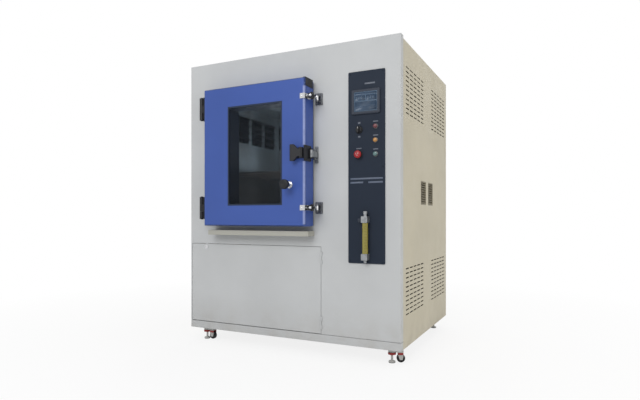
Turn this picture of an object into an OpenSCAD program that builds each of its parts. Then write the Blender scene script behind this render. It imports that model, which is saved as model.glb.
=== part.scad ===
// Sand and dust test chamber: a sheet-steel cabinet on levelling casters, with a windowed door,
// a control column, a dust hopper and a circulation blower. Sizes are in millimetres.
// Cabinet coordinates are used inside each sub-part: x from the left side panel's face,
// y from the fascia's face towards the rear, z from the underside of the base frame.

/* [Cabinet] */
// Width over the side panels
cabinet_w = 1350; // [1300:5:1500]
// Depth from the fascia's face to the rear panel's face
cabinet_d = 1060; // [1000:5:1200]
// Height of the side panels
cabinet_h = 1600; // [1550:5:1750]
// Height by which the fascia stands above the top cover
fascia_rise = 15; // [6:1:30]
// Depth of the fascia's folded returns
fascia_return = 40; // [30:1:60]
// Thickness of the folded sheets
sheet_t = 2; // [1.5:0.5:3]
// Height of the base frame's rails
rail_h = 42; // [36:1:60]
// Width of the base frame's rails
rail_w = 50; // [40:1:70]
// Width of the seams between neighbouring panels
seam = 2; // [1.5:0.5:3]

/* [Door] */
// Distance from the cabinet's left side to the door's left side
door_x = 192; // [170:1:230]
// Height of the door's lower edge
door_z = 632; // [600:1:680]
// Distance from the door's right side to the control panel
column_clear = 204; // [190:1:230]
// Distance from the door's top to the fascia's top
door_above = 190; // [170:1:230]
// Distance by which the door's face stands in front of the fascia
door_proud = 116; // [100:1:140]
// Radius of the rounding along the door's front edges
door_round = 10; // [4:1:16]
// Thickness of the door's rubber seal
seal_t = 12; // [8:1:16]
// Width of the door's rubber seal
seal_w = 18; // [12:1:24]
// Width of the fascia's edge that the closed door covers, on each side
door_lap = 38; // [34:1:50]
// Width of the door frame left of the window
window_left = 180; // [150:1:220]
// Width of the door frame right of the window
window_right = 146; // [130:1:170]
// Height of the door frame below the window
window_below = 124; // [110:1:180]
// Height of the door frame above the window
window_above = 123; // [110:1:150]
// Width of the window's rubber trim
trim_w = 9; // [6:1:14]
// Thickness of each pane of glass
pane_t = 6; // [4:1:8]

/* [Hinges] */
// Distance of each hinge's centre from the door's nearer end
hinge_end = 104; // [85:1:130]
// Height of a hinge
hinge_h = 130; // [110:1:150]
// Distance from the door's left side to the hinge pin
hinge_out = 36; // [32:1:44]
// Distance from the fascia to the hinge pin
hinge_proud = 88; // [70:1:100]
// Outer radius of a hinge knuckle
knuckle_r = 14; // [12:0.5:16]
// Radius of a hinge pin
hinge_pin_r = 5; // [4:0.5:6]

/* [Clamps and latch] */
// Distance of each clamp's centre from the door's nearer end
clamp_end = 100; // [80:1:130]
// Distance from the door's right side to a clamp's pivot pin
clamp_out = 31; // [29:1:36]
// Distance from the fascia to a clamp's pivot pin
clamp_proud = 30; // [28:1:34]
// Radius of a clamp's swing bolt
swing_bolt_r = 5; // [4:0.5:6]
// Distance from a clamp's pivot pin to the face of the door lug
clamp_reach = 49; // [44:1:56]
// Radius of a clamp's hand knob
clamp_knob_r = 19; // [16:1:21]
// Distance of the latch's centre below the door's middle
latch_drop = 6.5; // [0:0.5:20]
// Height of the latch case
latch_h = 84; // [78:1:96]
// Width of the latch case on the door's face
latch_w = 74; // [66:1:90]

/* [Window wiper] */
// Distance from the glass's right edge to the wiper's spindle
wiper_out = 57; // [45:1:70]
// Height of the wiper's spindle above the glass's lower edge
wiper_rise = 99; // [70:1:140]
// Distance by which the wiper's hand knob stands in front of the door
wiper_knob_proud = 72; // [66:1:84]
// Radius of the wiper's hand knob
wiper_knob_r = 26; // [20:1:30]
// Distance from the wiper blade's tip to the glass's left edge when it lies level
wiper_end = 28; // [10:1:60]

/* [Control column] */
// Distance from the cabinet's right side to the control panel
panel_gap = 83; // [70:1:110]
// Width of the control panel
panel_w = 204; // [190:1:230]
// Height of the control panel's lower edge
panel_z = 439; // [400:1:460]
// Height of the control panel
panel_h = 1008; // [980:1:1050]
// Thickness of the control panel
panel_t = 4; // [3:1:6]
// Width of the touch screen's bezel
screen_w = 155; // [140:1:170]
// Height of the touch screen's bezel
screen_h = 130; // [120:1:140]
// Distance from the panel's top to the touch screen's bezel
screen_drop = 97; // [80:1:110]
// Depth of the touch screen's bezel
screen_t = 9; // [6:1:14]
// Outer diameter of the selector's collar
selector_d = 40; // [34:1:46]
// Distance from the touch screen's bezel down to the selector's centre
selector_drop = 80; // [66:1:90]
// Distance from the selector's centre down to the emergency button's centre
estop_drop = 130; // [110:1:150]
// Distance from the touch screen's bezel down to the first pilot lamp's centre
lamp_drop = 67; // [55:1:80]
// Spacing of the pilot lamps
lamp_pitch = 72; // [60:1:76]
// Diameter of the emergency button
estop_d = 40; // [36:1:46]
// Travel of the emergency button
estop_travel = 6; // [4:1:8]
// Diameter of a pilot lamp's bezel
lamp_d = 29; // [26:1:32]
// Outer radius of the flow meter's tube
tube_r = 15; // [13:1:17]
// Length of the flow meter's clear tube
tube_len = 160; // [120:1:180]
// Height of the flow meter above the panel's lower edge
flow_rise = 19; // [18:1:60]

/* [Chamber] */
// Distance by which the chamber is wider than the door
chamber_wider = 83; // [50:1:100]
// Depth of the free space behind the chamber
chamber_behind = 248; // [200:1:300]
// Distance from the chamber's floor up to the door's lower edge
chamber_below = 14; // [8:1:20]
// Distance by which the chamber is higher than the door
chamber_higher = 7; // [0:1:40]
// Height of the specimen shelf above the chamber's floor
shelf_rise = 340; // [250:5:450]
// Spacing of the specimen shelf's rods
shelf_pitch = 28; // [20:1:40]

/* [Air circuit] */
// Outer radius of the air pipe
pipe_r = 57; // [50:1:62]
// Height of the blower's shaft
blower_z = 184; // [180:1:195]
// Radius of the blower's impeller
impeller_r = 84; // [70:1:86]
// Number of blades on the impeller
blade_count = 14; // [8:1:18]
// Width of the blower's housing
scroll_w = 80; // [70:1:90]

/* [Vents and casters] */
// Length of a vent slot
slot_len = 58; // [40:1:62]
// Height of a vent slot
slot_h = 7; // [4:0.5:9]
// Number of slots in a row
slot_columns = 5; // [2:1:5]
// Number of rows in a vent field
slot_rows = 11; // [3:1:11]
// Width of a louvre grille
grille_w = 118; // [90:1:130]
// Height of a louvre grille
grille_h = 138; // [100:1:160]
// Height of the base frame above the floor
caster_h = 80; // [80:1:90]
// Distance of each caster's pivot from the cabinet's sides
caster_inset = 70; // [69:1:95]
// Radius of a caster's wheel
wheel_r = 22; // [20:0.5:23]

/* [Hidden] */
$fn = 48;

// Small distance by which cutting shapes pass the faces that they cut
eps = 1;
// Gap between two faces that slide or turn past each other
gap = 0.5;
// Radial clearance of a pin or shaft that turns in its bore
run = 0.06;
// Gap at a flange or a seat where two pieces are fastened to each other
seat_gap = 0.3;

// Reach of the parts in front of the fascia and behind the rear panel
front_reach = door_proud + wiper_knob_proud;
gland_reach = 22;
// Place of the fascia's face in the part's own frame, which centres the overall depth
front_y = (front_reach - cabinet_d - gland_reach) / 2;

// The door fills what the cabinet leaves beside the control column and under the fascia's top
panel_x = cabinet_w - panel_gap - panel_w;
panel_cx = panel_x + panel_w / 2;
door_w = panel_x - column_clear - door_x;
door_h = cabinet_h + fascia_rise - door_above - door_z;
window_w = door_w - window_left - window_right;
window_h = door_h - window_below - window_above;
door_r = door_x + door_w;
door_top = door_z + door_h;
door_cx = door_x + door_w / 2;
door_cz = door_z + door_h / 2;
pan_t = 2;
// Plane of the door pan's inner face, on which the seal sits
pan_y = -seal_t;
mouth_x = door_x + door_lap;
mouth_z = door_z + door_lap;
mouth_w = door_w - 2 * door_lap;
mouth_h = door_h - 2 * door_lap;
glass_x = door_x + window_left;
glass_z = door_z + window_below;
hinge_x = door_x - hinge_out;
hinge_zs = [door_top - hinge_end, door_z + hinge_end];
clamp_x = door_r + clamp_out;
clamp_zs = [door_top - clamp_end, door_z + clamp_end];
latch_z = door_cz - latch_drop;
wiper_x = glass_x + window_w + wiper_out;
wiper_z = glass_z + wiper_rise;
// The blade stays on the glass when it lies level and when it stands upright
wiper_len = min(window_w + wiper_out, window_h - wiper_rise) - wiper_end;

chamber_w = door_w + chamber_wider;
chamber_x = door_cx - chamber_w / 2;
// Depth of the neck between the fascia and the chamber
neck_d = 60;
chamber_y = neck_d + sheet_t;
chamber_d = cabinet_d - chamber_y - chamber_behind;
chamber_cy = chamber_y + chamber_d / 2;
chamber_z = door_z - chamber_below;
chamber_h = door_h + chamber_higher;
shelf_z = chamber_z + shelf_rise;
flange_t = 3;
// Top face of the frame that carries the chamber
stand_z = chamber_z - sheet_t - flange_t;
leg_w = 40;

service_edge = 10;
service_r = door_r + 40;
service_z = rail_h + 2 * seam;
service_top = door_z - 113;
service_pin = [service_r + seam / 2, -4];
service_knuckle_r = 3.5;
lock_x = door_x - 72;
lock_z = service_top - 19;

// Draws children that are placed in cabinet coordinates
module cab() translate([-cabinet_w / 2, front_y, caster_h]) children();

// Extrudes an outline drawn in x and z along y, from y to y + t
module xz(y, t) translate([0, y + t, 0]) rotate([90, 0, 0]) linear_extrude(t) children();

// Extrudes an outline drawn in y and z along x, from x to x + t
module yz(x, t) translate([x, 0, 0]) rotate([90, 0, 90]) linear_extrude(t) children();

// Round bar along y at a place in x and z
module bar_y(x, z, r, y0, y1) translate([x, y1, z]) rotate([90, 0, 0]) cylinder(r = r, h = y1 - y0);

// Round bar along x at a place in y and z
module bar_x(y, z, r, x0, x1) translate([x0, y, z]) rotate([0, 90, 0]) cylinder(r = r, h = x1 - x0);

// Round bar along z at a place in x and y
module bar_z(x, y, r, z0, z1) translate([x, y, z0]) cylinder(r = r, h = z1 - z0);

// Rectangle with rounded corners, its lower left corner at the origin
module rounded(size, r) {
  translate([r, 0]) square([size.x - 2 * r, size.y]);
  translate([0, r]) square([size.x, size.y - 2 * r]);
  for (x = [r, size.x - r], y = [r, size.y - r]) translate([x, y]) circle(r);
}

// Rectangular ring of a given width, its outer lower left corner at the origin
module ring(size, w) {
  difference() {
    square(size);
    translate([w, w]) square([size.x - 2 * w, size.y - 2 * w]);
  }
}

// Slot with round ends, its left end at the origin
module slot(len, h) {
  translate([h / 2, 0]) square([len - h, h]);
  for (x = [h / 2, len - h / 2]) translate([x, h / 2]) circle(h / 2, $fn = 16);
}

slot_pitch_x = 75;
slot_pitch_z = 24;
vent_w = (slot_columns - 1) * slot_pitch_x + slot_len;
vent_front = 87;
vent_rear = cabinet_d - 65 - vent_w;
vent_low = 168;
vent_high = cabinet_h - 375;

// Field of vent slots in rows
module vent_field() {
  for (i = [0 : slot_columns - 1], j = [0 : slot_rows - 1]) {
    translate([i * slot_pitch_x, j * slot_pitch_z]) slot(slot_len, slot_h);
  }
}

module base_frame() color("gainsboro") cab() {
  difference() {
    union() {
      translate([sheet_t, 0, 0]) linear_extrude(rail_h) ring([cabinet_w - 2 * sheet_t, cabinet_d - sheet_t], rail_w);
      cube([cabinet_w, fascia_return, rail_h]);
      // Rails under the legs of the inner frame and the deck that they carry
      for (x = [chamber_x, chamber_x + chamber_w - leg_w]) {
        translate([x, rail_w, 0]) cube([leg_w, cabinet_d - 2 * rail_w, rail_h]);
      }
      translate([rail_w, rail_w, rail_h - sheet_t]) {
        cube([cabinet_w - 2 * rail_w, cabinet_d - 2 * rail_w, sheet_t]);
      }
    }
    // Drain holes through the deck
    for (x = [panel_x - rail_w, panel_cx]) bar_z(x, cabinet_d / 2, 12, rail_h - sheet_t - eps, rail_h + eps);
  }
}

module inner_frame() color("slategray") cab() {
  y0 = chamber_y;
  y1 = chamber_y + chamber_d - leg_w;
  for (x = [chamber_x, chamber_x + chamber_w - leg_w], y = [y0, y1]) {
    translate([x, y, rail_h]) cube([leg_w, leg_w, stand_z - rail_h]);
  }
  translate([chamber_x, chamber_y, stand_z - leg_w]) linear_extrude(leg_w) ring([chamber_w, chamber_d], leg_w);
}

module front_fascia() color("gainsboro") cab() {
  z0 = rail_h + seam;
  top = cabinet_h + fascia_rise;
  xz(0, sheet_t) difference() {
    translate([0, z0]) square([cabinet_w, top - z0]);
    translate([mouth_x, mouth_z]) square([mouth_w, mouth_h]);
    translate([service_edge - seam, z0 - eps]) {
      square([service_r + 2 * seam - service_edge, service_top + seam + eps - z0]);
    }
  }
  // Folded returns at both sides and along the top
  for (x = [0, cabinet_w - sheet_t]) translate([x, 0, z0]) cube([sheet_t, fascia_return, top - z0]);
  translate([0, 0, top - sheet_t]) cube([cabinet_w, fascia_return, sheet_t]);
  translate([sheet_t, fascia_return - sheet_t, cabinet_h]) {
    cube([cabinet_w - 2 * sheet_t, sheet_t, fascia_rise]);
  }
  service_knuckles(1);
}

// Knuckles of the service panel's slim hinges: side 1 is on the fascia, side -1 on the panel
module service_knuckles(side) {
  length = 22;
  foot = 8;
  for (z = [service_z + 60, service_top - 60]) {
    for (k = side > 0 ? [-1, 1] : [0]) {
      z0 = z + k * (length + gap) - length / 2;
      difference() {
        union() {
          bar_z(service_pin.x, service_pin.y, service_knuckle_r, z0, z0 + length);
          translate([side > 0 ? service_pin.x + seam / 2 : service_pin.x - seam / 2 - foot, service_pin.y - 1, z0]) {
            cube([foot, 1 - service_pin.y, length]);
          }
        }
        if (side > 0) bar_z(service_pin.x, service_pin.y, 1.5 + run, z0 - eps, z0 + length + eps);
      }
    }
    if (side < 0) bar_z(service_pin.x, service_pin.y, 1.5, z - 1.5 * length - gap, z + 1.5 * length + gap);
  }
}

sill_w = door_w;
sill_proud = 75;
sill_lip = 28;
sill_z = door_z - 26;

module door_sill() color("lightgray") cab() translate([door_cx - sill_w / 2, 0, 0]) {
  // Folded profile: flat top, front lip, hem and a flange on the fascia
  yz(0, sill_w) polygon([
    [0, sill_z], [-sill_proud, sill_z], [-sill_proud, sill_z - sill_lip],
    [-sill_proud + 14, sill_z - sill_lip], [-sill_proud + 14, sill_z - sill_lip + sheet_t],
    [-sill_proud + sheet_t, sill_z - sill_lip + sheet_t], [-sill_proud + sheet_t, sill_z - sheet_t],
    [-sheet_t, sill_z - sheet_t], [-sheet_t, sill_z - sill_lip], [0, sill_z - sill_lip]
  ]);
  for (x = [0, sill_w - sheet_t]) translate([x, -sill_proud, sill_z - sill_lip]) cube([sheet_t, sill_proud, sill_lip]);
}

side_y = fascia_return + 0.5;
side_d = cabinet_d - sheet_t - side_y;
side_flange = 18;

// Side panel's sheet with its four vent fields
module side_sheet() {
  difference() {
    translate([side_y, 0]) square([side_d, cabinet_h]);
    for (y = [vent_front, vent_rear], z = [vent_low, vent_high]) translate([y, z]) vent_field();
    children();
  }
}

module left_side_panel() color("wheat") cab() {
  yz(0, sheet_t) side_sheet();
}

grille_gap = 50;
grille_z = 753;
grille_ys = [cabinet_d / 2 - grille_gap / 2 - grille_w, cabinet_d / 2 + grille_gap / 2];

module right_side_panel() color("wheat") cab() {
  yz(cabinet_w - sheet_t, sheet_t) side_sheet() {
    for (y = grille_ys) translate([y, grille_z]) square([grille_w, grille_h]);
  }
}

// Louvre grilles: a frame in the panel's cut-out, a flange behind the sheet and sloping slats
module side_grilles() color("dimgray") cab() {
  depth = 16;
  rim = 7;
  lip = 8;
  count = 9;
  for (y = grille_ys) {
    yz(cabinet_w - depth, depth) translate([y, grille_z]) ring([grille_w, grille_h], rim);
    yz(cabinet_w - sheet_t - 2, 2) translate([y - lip, grille_z - lip]) {
      ring([grille_w + 2 * lip, grille_h + 2 * lip], lip + rim);
    }
    pitch = (grille_h - 2 * rim) / count;
    for (i = [0 : count - 1]) {
      translate([cabinet_w - depth, y + grille_w - rim + 1, grille_z + rim + 2 + i * pitch]) rotate([90, 0, 0]) {
        linear_extrude(grille_w - 2 * rim + 2) polygon([
          [1, pitch * 0.75], [2.5, pitch * 0.95], [depth - 1, 2.2], [depth - 1, 0]
        ]);
      }
    }
  }
}

gland_x = cabinet_w - 150;
gland_z = 120;

module rear_panel() color("wheat") cab() {
  xz(cabinet_d - sheet_t, sheet_t) difference() {
    square([cabinet_w, cabinet_h]);
    for (x = [vent_front, cabinet_w - vent_front - vent_w], z = [vent_low, vent_high]) {
      translate([x, z]) vent_field();
    }
    translate([gland_x, gland_z]) circle(11);
  }
  // Empty cable gland: hexagon body, dome nut and a nut inside
  difference() {
    union() {
      translate([gland_x, cabinet_d + 8, gland_z]) rotate([90, 0, 0]) cylinder(r = 17, h = 8, $fn = 6);
      bar_y(gland_x, gland_z, 14, cabinet_d, cabinet_d + gland_reach);
      bar_y(gland_x, gland_z, 11, cabinet_d - sheet_t - 8, cabinet_d);
      bar_y(gland_x, gland_z, 16, cabinet_d - sheet_t - 6, cabinet_d - sheet_t);
    }
    bar_y(gland_x, gland_z, 7, cabinet_d - 20, cabinet_d + gland_reach + eps);
  }
}

module top_cover() color("gainsboro") cab() {
  fold = 25;
  w = cabinet_w - 2 * sheet_t;
  d = cabinet_d - 2 * sheet_t;
  translate([sheet_t, sheet_t, cabinet_h - sheet_t]) cube([w, d, sheet_t]);
  translate([sheet_t, sheet_t, cabinet_h - fold]) linear_extrude(fold - sheet_t) ring([w, d], sheet_t);
}

outlet_w = 130;
outlet_h = 180;
outlet_z = chamber_z + chamber_h - 240;
outlet_ys = [for (i = [-1 : 1]) chamber_cy + 75 + i * 165 - outlet_w / 2];
floor_hole = [chamber_w - 2 * leg_w - 20, chamber_d - 2 * leg_w - 20];

module chamber_liner() color("lightsteelblue") cab() {
  t = sheet_t;
  // Walls, open at the front, with the hole of the hopper in the floor
  difference() {
    translate([chamber_x - t, chamber_y - t, chamber_z - t]) {
      cube([chamber_w + 2 * t, chamber_d + 2 * t, chamber_h + 2 * t]);
    }
    translate([chamber_x, chamber_y, chamber_z]) cube([chamber_w, chamber_d, chamber_h]);
    xz(chamber_y - t - eps, t + 2 * eps) translate([mouth_x, mouth_z]) square([mouth_w, mouth_h]);
    translate([door_cx - floor_hole.x / 2, chamber_cy - floor_hole.y / 2, chamber_z - t - eps]) {
      cube([floor_hole.x, floor_hole.y, t + 2 * eps]);
    }
    for (y = outlet_ys) {
      translate([chamber_x - t - eps, y, outlet_z]) cube([t + 2 * eps, outlet_w, outlet_h]);
    }
  }
  // Neck from the chamber to the back of the fascia
  xz(t, chamber_y - 2 * t) difference() {
    translate([mouth_x - t, mouth_z - t]) square([mouth_w + 2 * t, mouth_h + 2 * t]);
    translate([mouth_x, mouth_z]) square([mouth_w, mouth_h]);
  }
  // Slats across the air outlets
  slats = 4;
  lap = 5;
  pitch = outlet_h / slats;
  for (y = outlet_ys, i = [0 : slats - 1]) {
    translate([chamber_x, y + outlet_w + lap, outlet_z + i * pitch]) rotate([90, 0, 0]) {
      linear_extrude(outlet_w + 2 * lap) polygon([
        [-t / 2, pitch - 5], [-t / 2, pitch - 2.5], [17, pitch - 22], [15.5, pitch - 23]
      ]);
    }
  }
  // Brackets that carry the shelf
  for (x = [chamber_x, chamber_x + chamber_w - shelf_bracket]) {
    translate([x, chamber_y + 60, shelf_z - shelf_t - sheet_t]) cube([shelf_bracket, chamber_d - 120, sheet_t]);
  }
}

hopper_top = [chamber_w - 2 * leg_w - 4, chamber_d - 2 * leg_w - 4];
hopper_neck_z = 330;
// Radius of the bend between the hopper's neck and the blower
bend_r = 100;
neck_len = hopper_neck_z - blower_z - bend_r - seat_gap;

// Funnel from a rectangular top to a round neck
module funnel(inset) {
  top = [hopper_top.x - 2 * inset, hopper_top.y - 2 * inset];
  hull() {
    translate([-top.x / 2, -top.y / 2, stand_z - 1]) cube([top.x, top.y, 1 + eps * (inset > 0 ? 1 : 0)]);
    translate([0, 0, hopper_neck_z - eps * (inset > 0 ? 1 : 0)]) cylinder(r = pipe_r - inset, h = 1, $fn = 32);
  }
}

module hopper() color("lightsteelblue") cab() translate([door_cx, chamber_cy, 0]) {
  rim = [hopper_top.x + 40, hopper_top.y + 40];
  difference() {
    union() {
      funnel(0);
      translate([-rim.x / 2, -rim.y / 2, stand_z]) cube([rim.x, rim.y, flange_t]);
      bar_z(0, 0, pipe_r, hopper_neck_z - neck_len, hopper_neck_z + 1);
      bar_z(0, 0, pipe_r + pipe_flange, hopper_neck_z - neck_len, hopper_neck_z - neck_len + flange_t);
    }
    funnel(sheet_t);
    translate([-floor_hole.x / 2, -floor_hole.y / 2, stand_z - eps]) {
      cube([floor_hole.x, floor_hole.y, flange_t + 2 * eps]);
    }
    bar_z(0, 0, pipe_r - sheet_t, hopper_neck_z - neck_len - eps, hopper_neck_z + 2);
  }
}

scroll_x = door_cx - 255;
pipe_end = scroll_x + scroll_w;

pipe_wall = 2;
pipe_flange = 12;

// Straight length of pipe along z from the origin, with a flange at both ends
module pipe_length(len) {
  difference() {
    union() {
      cylinder(r = pipe_r, h = len);
      for (z = [0, len - flange_t]) translate([0, 0, z]) cylinder(r = pipe_r + pipe_flange, h = flange_t);
    }
    translate([0, 0, -eps]) cylinder(r = pipe_r - pipe_wall, h = len + 2 * eps);
  }
}

// Quarter bend from +z at the origin to -x, with a flange at both ends
module pipe_bend() {
  difference() {
    union() {
      bend_sweep(pipe_r);
      translate([0, 0, -flange_t]) cylinder(r = pipe_r + pipe_flange, h = flange_t);
      translate([-bend_r, 0, -bend_r]) rotate([0, -90, 0]) translate([0, 0, -flange_t]) {
        cylinder(r = pipe_r + pipe_flange, h = flange_t);
      }
    }
    bend_sweep(pipe_r - pipe_wall);
    cylinder(r = pipe_r - pipe_wall, h = eps);
    translate([-bend_r, 0, -bend_r]) rotate([0, -90, 0]) cylinder(r = pipe_r - pipe_wall, h = eps);
  }
}

// Round bar bent through a quarter turn
module bend_sweep(r) {
  translate([-bend_r, 0, 0]) rotate([90, 0, 0]) rotate([0, 0, -90]) {
    rotate_extrude(angle = 90) translate([bend_r, 0]) circle(r);
  }
}

module suction_pipe() color("silver") cab() translate([0, chamber_cy, 0]) {
  bend_z = blower_z + bend_r;
  translate([door_cx, 0, bend_z]) pipe_bend();
  translate([pipe_end, 0, blower_z]) rotate([0, 90, 0]) pipe_length(door_cx - bend_r - pipe_end - seat_gap);
}

// Scroll outline: the radius grows evenly over one turn, and the mouth points up
scroll_r0 = impeller_r + 10;
scroll_grow = 34;
scroll_top = blower_z + 142;
mouth_in = 52;
function scroll_point(a, inset) = let (r = scroll_r0 + scroll_grow * a / 360 - inset) [r * cos(a), -r * sin(a)];

module scroll_outline(inset) {
  outer = scroll_r0 + scroll_grow * 0.75 - inset;
  polygon([for (a = [0 : 10 : 350]) scroll_point(a, inset)]);
  translate([mouth_in + inset, 0]) square([scroll_r0 - 2 * inset + scroll_grow - mouth_in, scroll_top - blower_z + (inset > 0 ? eps : 0)]);
}

module blower_housing() color("silver") cab() translate([0, chamber_cy, blower_z]) {
  wall = 2;
  difference() {
    yz(scroll_x, scroll_w) scroll_outline(0);
    yz(scroll_x + wall, scroll_w - 2 * wall) scroll_outline(wall);
    bar_x(0, 0, pipe_r - wall, scroll_x + scroll_w - wall - eps, scroll_x + scroll_w + eps);
    bar_x(0, 0, 9, scroll_x - eps, scroll_x + wall + eps);
  }
  // Foot on the deck
  foot_z = rail_h - blower_z;
  translate([scroll_x, -70, foot_z]) cube([scroll_w, 140, 4]);
  for (x = [scroll_x, scroll_x + scroll_w - 4]) {
    difference() {
      translate([x, -70, foot_z]) cube([4, 140, -foot_z]);
      bar_x(0, 0, scroll_r0 - 8, x - eps, x + 4 + eps);
    }
  }
}

motor_r = 62;
motor_len = 128;

module blower_motor() color("steelblue") cab() translate([0, chamber_cy, blower_z]) {
  x1 = scroll_x;
  x0 = x1 - motor_len;
  difference() {
    union() {
      bar_x(0, 0, motor_r - 6, x0 + 22, x1);
      bar_x(0, 0, motor_r, x1 - 8, x1);
      bar_x(0, 0, motor_r, x0, x0 + 24);
      // Cooling ribs
      for (a = [0 : 15 : 345]) rotate([a, 0, 0]) translate([x0 + 22, -1.5, 0]) cube([motor_len - 30, 3, motor_r]);
      // Feet and terminal box
      translate([x0 + 34, -70, rail_h - blower_z]) cube([60, 140, 6]);
      for (y = [-46, 38]) translate([x0 + 40, y, rail_h - blower_z]) cube([48, 8, 110]);
      translate([x0 + 34, -32, motor_r - 8]) cube([60, 64, 34]);
    }
    bar_x(0, 0, 7 + run, x1 - 40, x1 + eps);
  }
}

blade_in = 52;
blade_sweep = 34;
blade_t = 2;
function blade_point(k, t) = let (r = blade_in + (impeller_r - 1 - blade_in) * k, a = blade_sweep * k)
  [r * cos(a) + t * sin(a + 20), -r * sin(a) + t * cos(a + 20)];

module blower_impeller() color("gray") cab() translate([0, chamber_cy, blower_z]) {
  x0 = scroll_x + 10;
  depth = 56;
  plate = 3;
  steps = 5;
  difference() {
    union() {
      bar_x(0, 0, impeller_r, x0, x0 + plate);
      bar_x(0, 0, 16, x0, x0 + 30);
      // Blades between the back plate and the front ring
      for (i = [0 : blade_count - 1]) rotate([i * 360 / blade_count, 0, 0]) {
        yz(x0 + plate - 1, depth - plate) polygon([
          for (k = [0 : steps]) blade_point(k / steps, 0),
          for (k = [steps : -1 : 0]) blade_point(k / steps, blade_t)
        ]);
      }
      difference() {
        bar_x(0, 0, impeller_r, x0 + depth - plate, x0 + depth);
        bar_x(0, 0, pipe_r + 2, x0 + depth - plate - eps, x0 + depth + eps);
      }
      // Shaft into the motor
      bar_x(0, 0, 7, scroll_x - 38, x0 + eps);
    }
    bar_x(0, 0, 4, x0 + 10, x0 + 30 + eps);
  }
}

duct_x0 = chamber_x - sheet_t - 86;
duct_w = 86;
riser_y = chamber_cy + mouth_in;
riser_d = scroll_r0 + scroll_grow - mouth_in;
plenum_y = outlet_ys[0] - 15;
plenum_d = outlet_ys[2] + outlet_w + 15 - plenum_y;

plenum_z = outlet_z - 15;
plenum_h = outlet_h + 30;

// Riser from the blower's mouth, along the chamber's left wall
module riser_outline(inset) {
  end = inset > 0 ? eps : 0;
  top = plenum_z - seat_gap;
  polygon([
    [scroll_x + inset, scroll_top - end], [scroll_x + scroll_w - inset, scroll_top - end],
    [scroll_x + scroll_w - inset, scroll_top + 24], [duct_x0 + duct_w - inset, stand_z - leg_w - 20],
    [duct_x0 + duct_w - inset, top + end], [duct_x0 + inset, top + end],
    [duct_x0 + inset, stand_z - leg_w - 60 + inset], [scroll_x + inset, scroll_top + 4]
  ]);
}

module supply_duct() color("silver") cab() {
  wall = 2;
  difference() {
    xz(riser_y, riser_d) riser_outline(0);
    xz(riser_y + wall, riser_d - 2 * wall) riser_outline(wall);
  }
  // Plenum behind the chamber's outlets
  difference() {
    translate([duct_x0, plenum_y, plenum_z]) cube([duct_w, plenum_d, plenum_h]);
    translate([duct_x0 + wall, plenum_y + wall, plenum_z + wall]) {
      cube([duct_w - 2 * wall, plenum_d - 2 * wall, plenum_h - 2 * wall]);
    }
    translate([duct_x0 + wall, riser_y + wall, plenum_z - eps]) {
      cube([duct_w - 2 * wall, riser_d - 2 * wall, wall + 2 * eps]);
    }
    for (y = outlet_ys) translate([duct_x0 + duct_w - wall - eps, y, outlet_z]) cube([wall + 2 * eps, outlet_w, outlet_h]);
  }
}

shelf_t = 10;
shelf_bracket = 30;

module specimen_shelf() color("silver") cab() {
  frame = 10;
  w = chamber_w - 10;
  d = chamber_d - 90;
  x0 = door_cx - w / 2;
  y0 = chamber_cy - d / 2;
  translate([x0, y0, shelf_z - shelf_t]) linear_extrude(shelf_t) ring([w, d], frame);
  count = floor((w - 2 * frame) / shelf_pitch);
  first = x0 + (w - (count - 1) * shelf_pitch) / 2;
  for (i = [0 : count - 1]) bar_y(first + i * shelf_pitch, shelf_z - 3, 2.5, y0 + 1, y0 + d - 1);
  for (i = [1 : 4]) {
    translate([x0 + 1, y0 + i * d / 5 - 3, shelf_z - 9]) cube([w - 2, 6, 6]);
  }
}

module vacuum_pump() color("dimgray") cab() {
  tray = [250, 150, 6];
  x0 = (door_r + 40 + cabinet_w - tray.x) / 2;
  y0 = tray.x - 10;
  // Tray on the deck with two rubber mounts
  translate([x0, y0, rail_h]) cube(tray);
  for (x = [x0 + 30, x0 + 200]) bar_z(x, y0 + 75, 14, rail_h + 6, rail_h + 26);
  // Motor between two pump heads
  bar_x(y0 + 75, rail_h + 80, 55, x0 + 40, x0 + 210);
  for (x = [x0 + 5, x0 + 205]) translate([x, y0 + 30, rail_h + 30]) cube([40, 90, 110]);
  for (x = [x0 + 5, x0 + 205]) translate([x, y0 + 38, rail_h + 140]) cube([40, 74, 14]);
  bar_z(x0 + 25, y0 + 75, 6, rail_h + 154, rail_h + 176);
}

module control_panel() color("darkslategray") cab() {
  xz(-panel_t, panel_t) difference() {
    translate([panel_x, panel_z]) rounded([panel_w, panel_h], 6);
    translate([selector_x, selector_z]) circle(selector_stem + 0.3);
    translate([estop_x, estop_z]) circle(estop_stem + 0.3);
  }
}

screen_x = panel_cx - screen_w / 2 - 2;
screen_z = panel_z + panel_h - screen_drop - screen_h;
screen_border = 13;

module screen_bezel() color("slategray") cab() {
  y0 = -panel_t - screen_t;
  difference() {
    intersection() {
      xz(y0, screen_t) translate([screen_x, screen_z]) rounded([screen_w, screen_h], 6);
      yz(screen_x, screen_w) polygon([
        [y0 + screen_t, screen_z], [y0 + 3, screen_z], [y0, screen_z + 4],
        [y0, screen_z + screen_h - 4], [y0 + 3, screen_z + screen_h], [y0 + screen_t, screen_z + screen_h]
      ]);
    }
    xz(y0 - eps, 4 + eps) translate([screen_x + screen_border, screen_z + screen_border]) {
      rounded([screen_w - 2 * screen_border, screen_h - 2 * screen_border], 2);
    }
  }
}

module screen_glass() color("steelblue") cab() {
  xz(-panel_t - screen_t + 1.5, 2.5) translate([screen_x + screen_border, screen_z + screen_border]) {
    rounded([screen_w - 2 * screen_border, screen_h - 2 * screen_border], 2);
  }
}

lamp_x = panel_x + panel_w - 51;
lamp_zs = [for (i = [0 : 2]) screen_z - lamp_drop - i * lamp_pitch];

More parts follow.
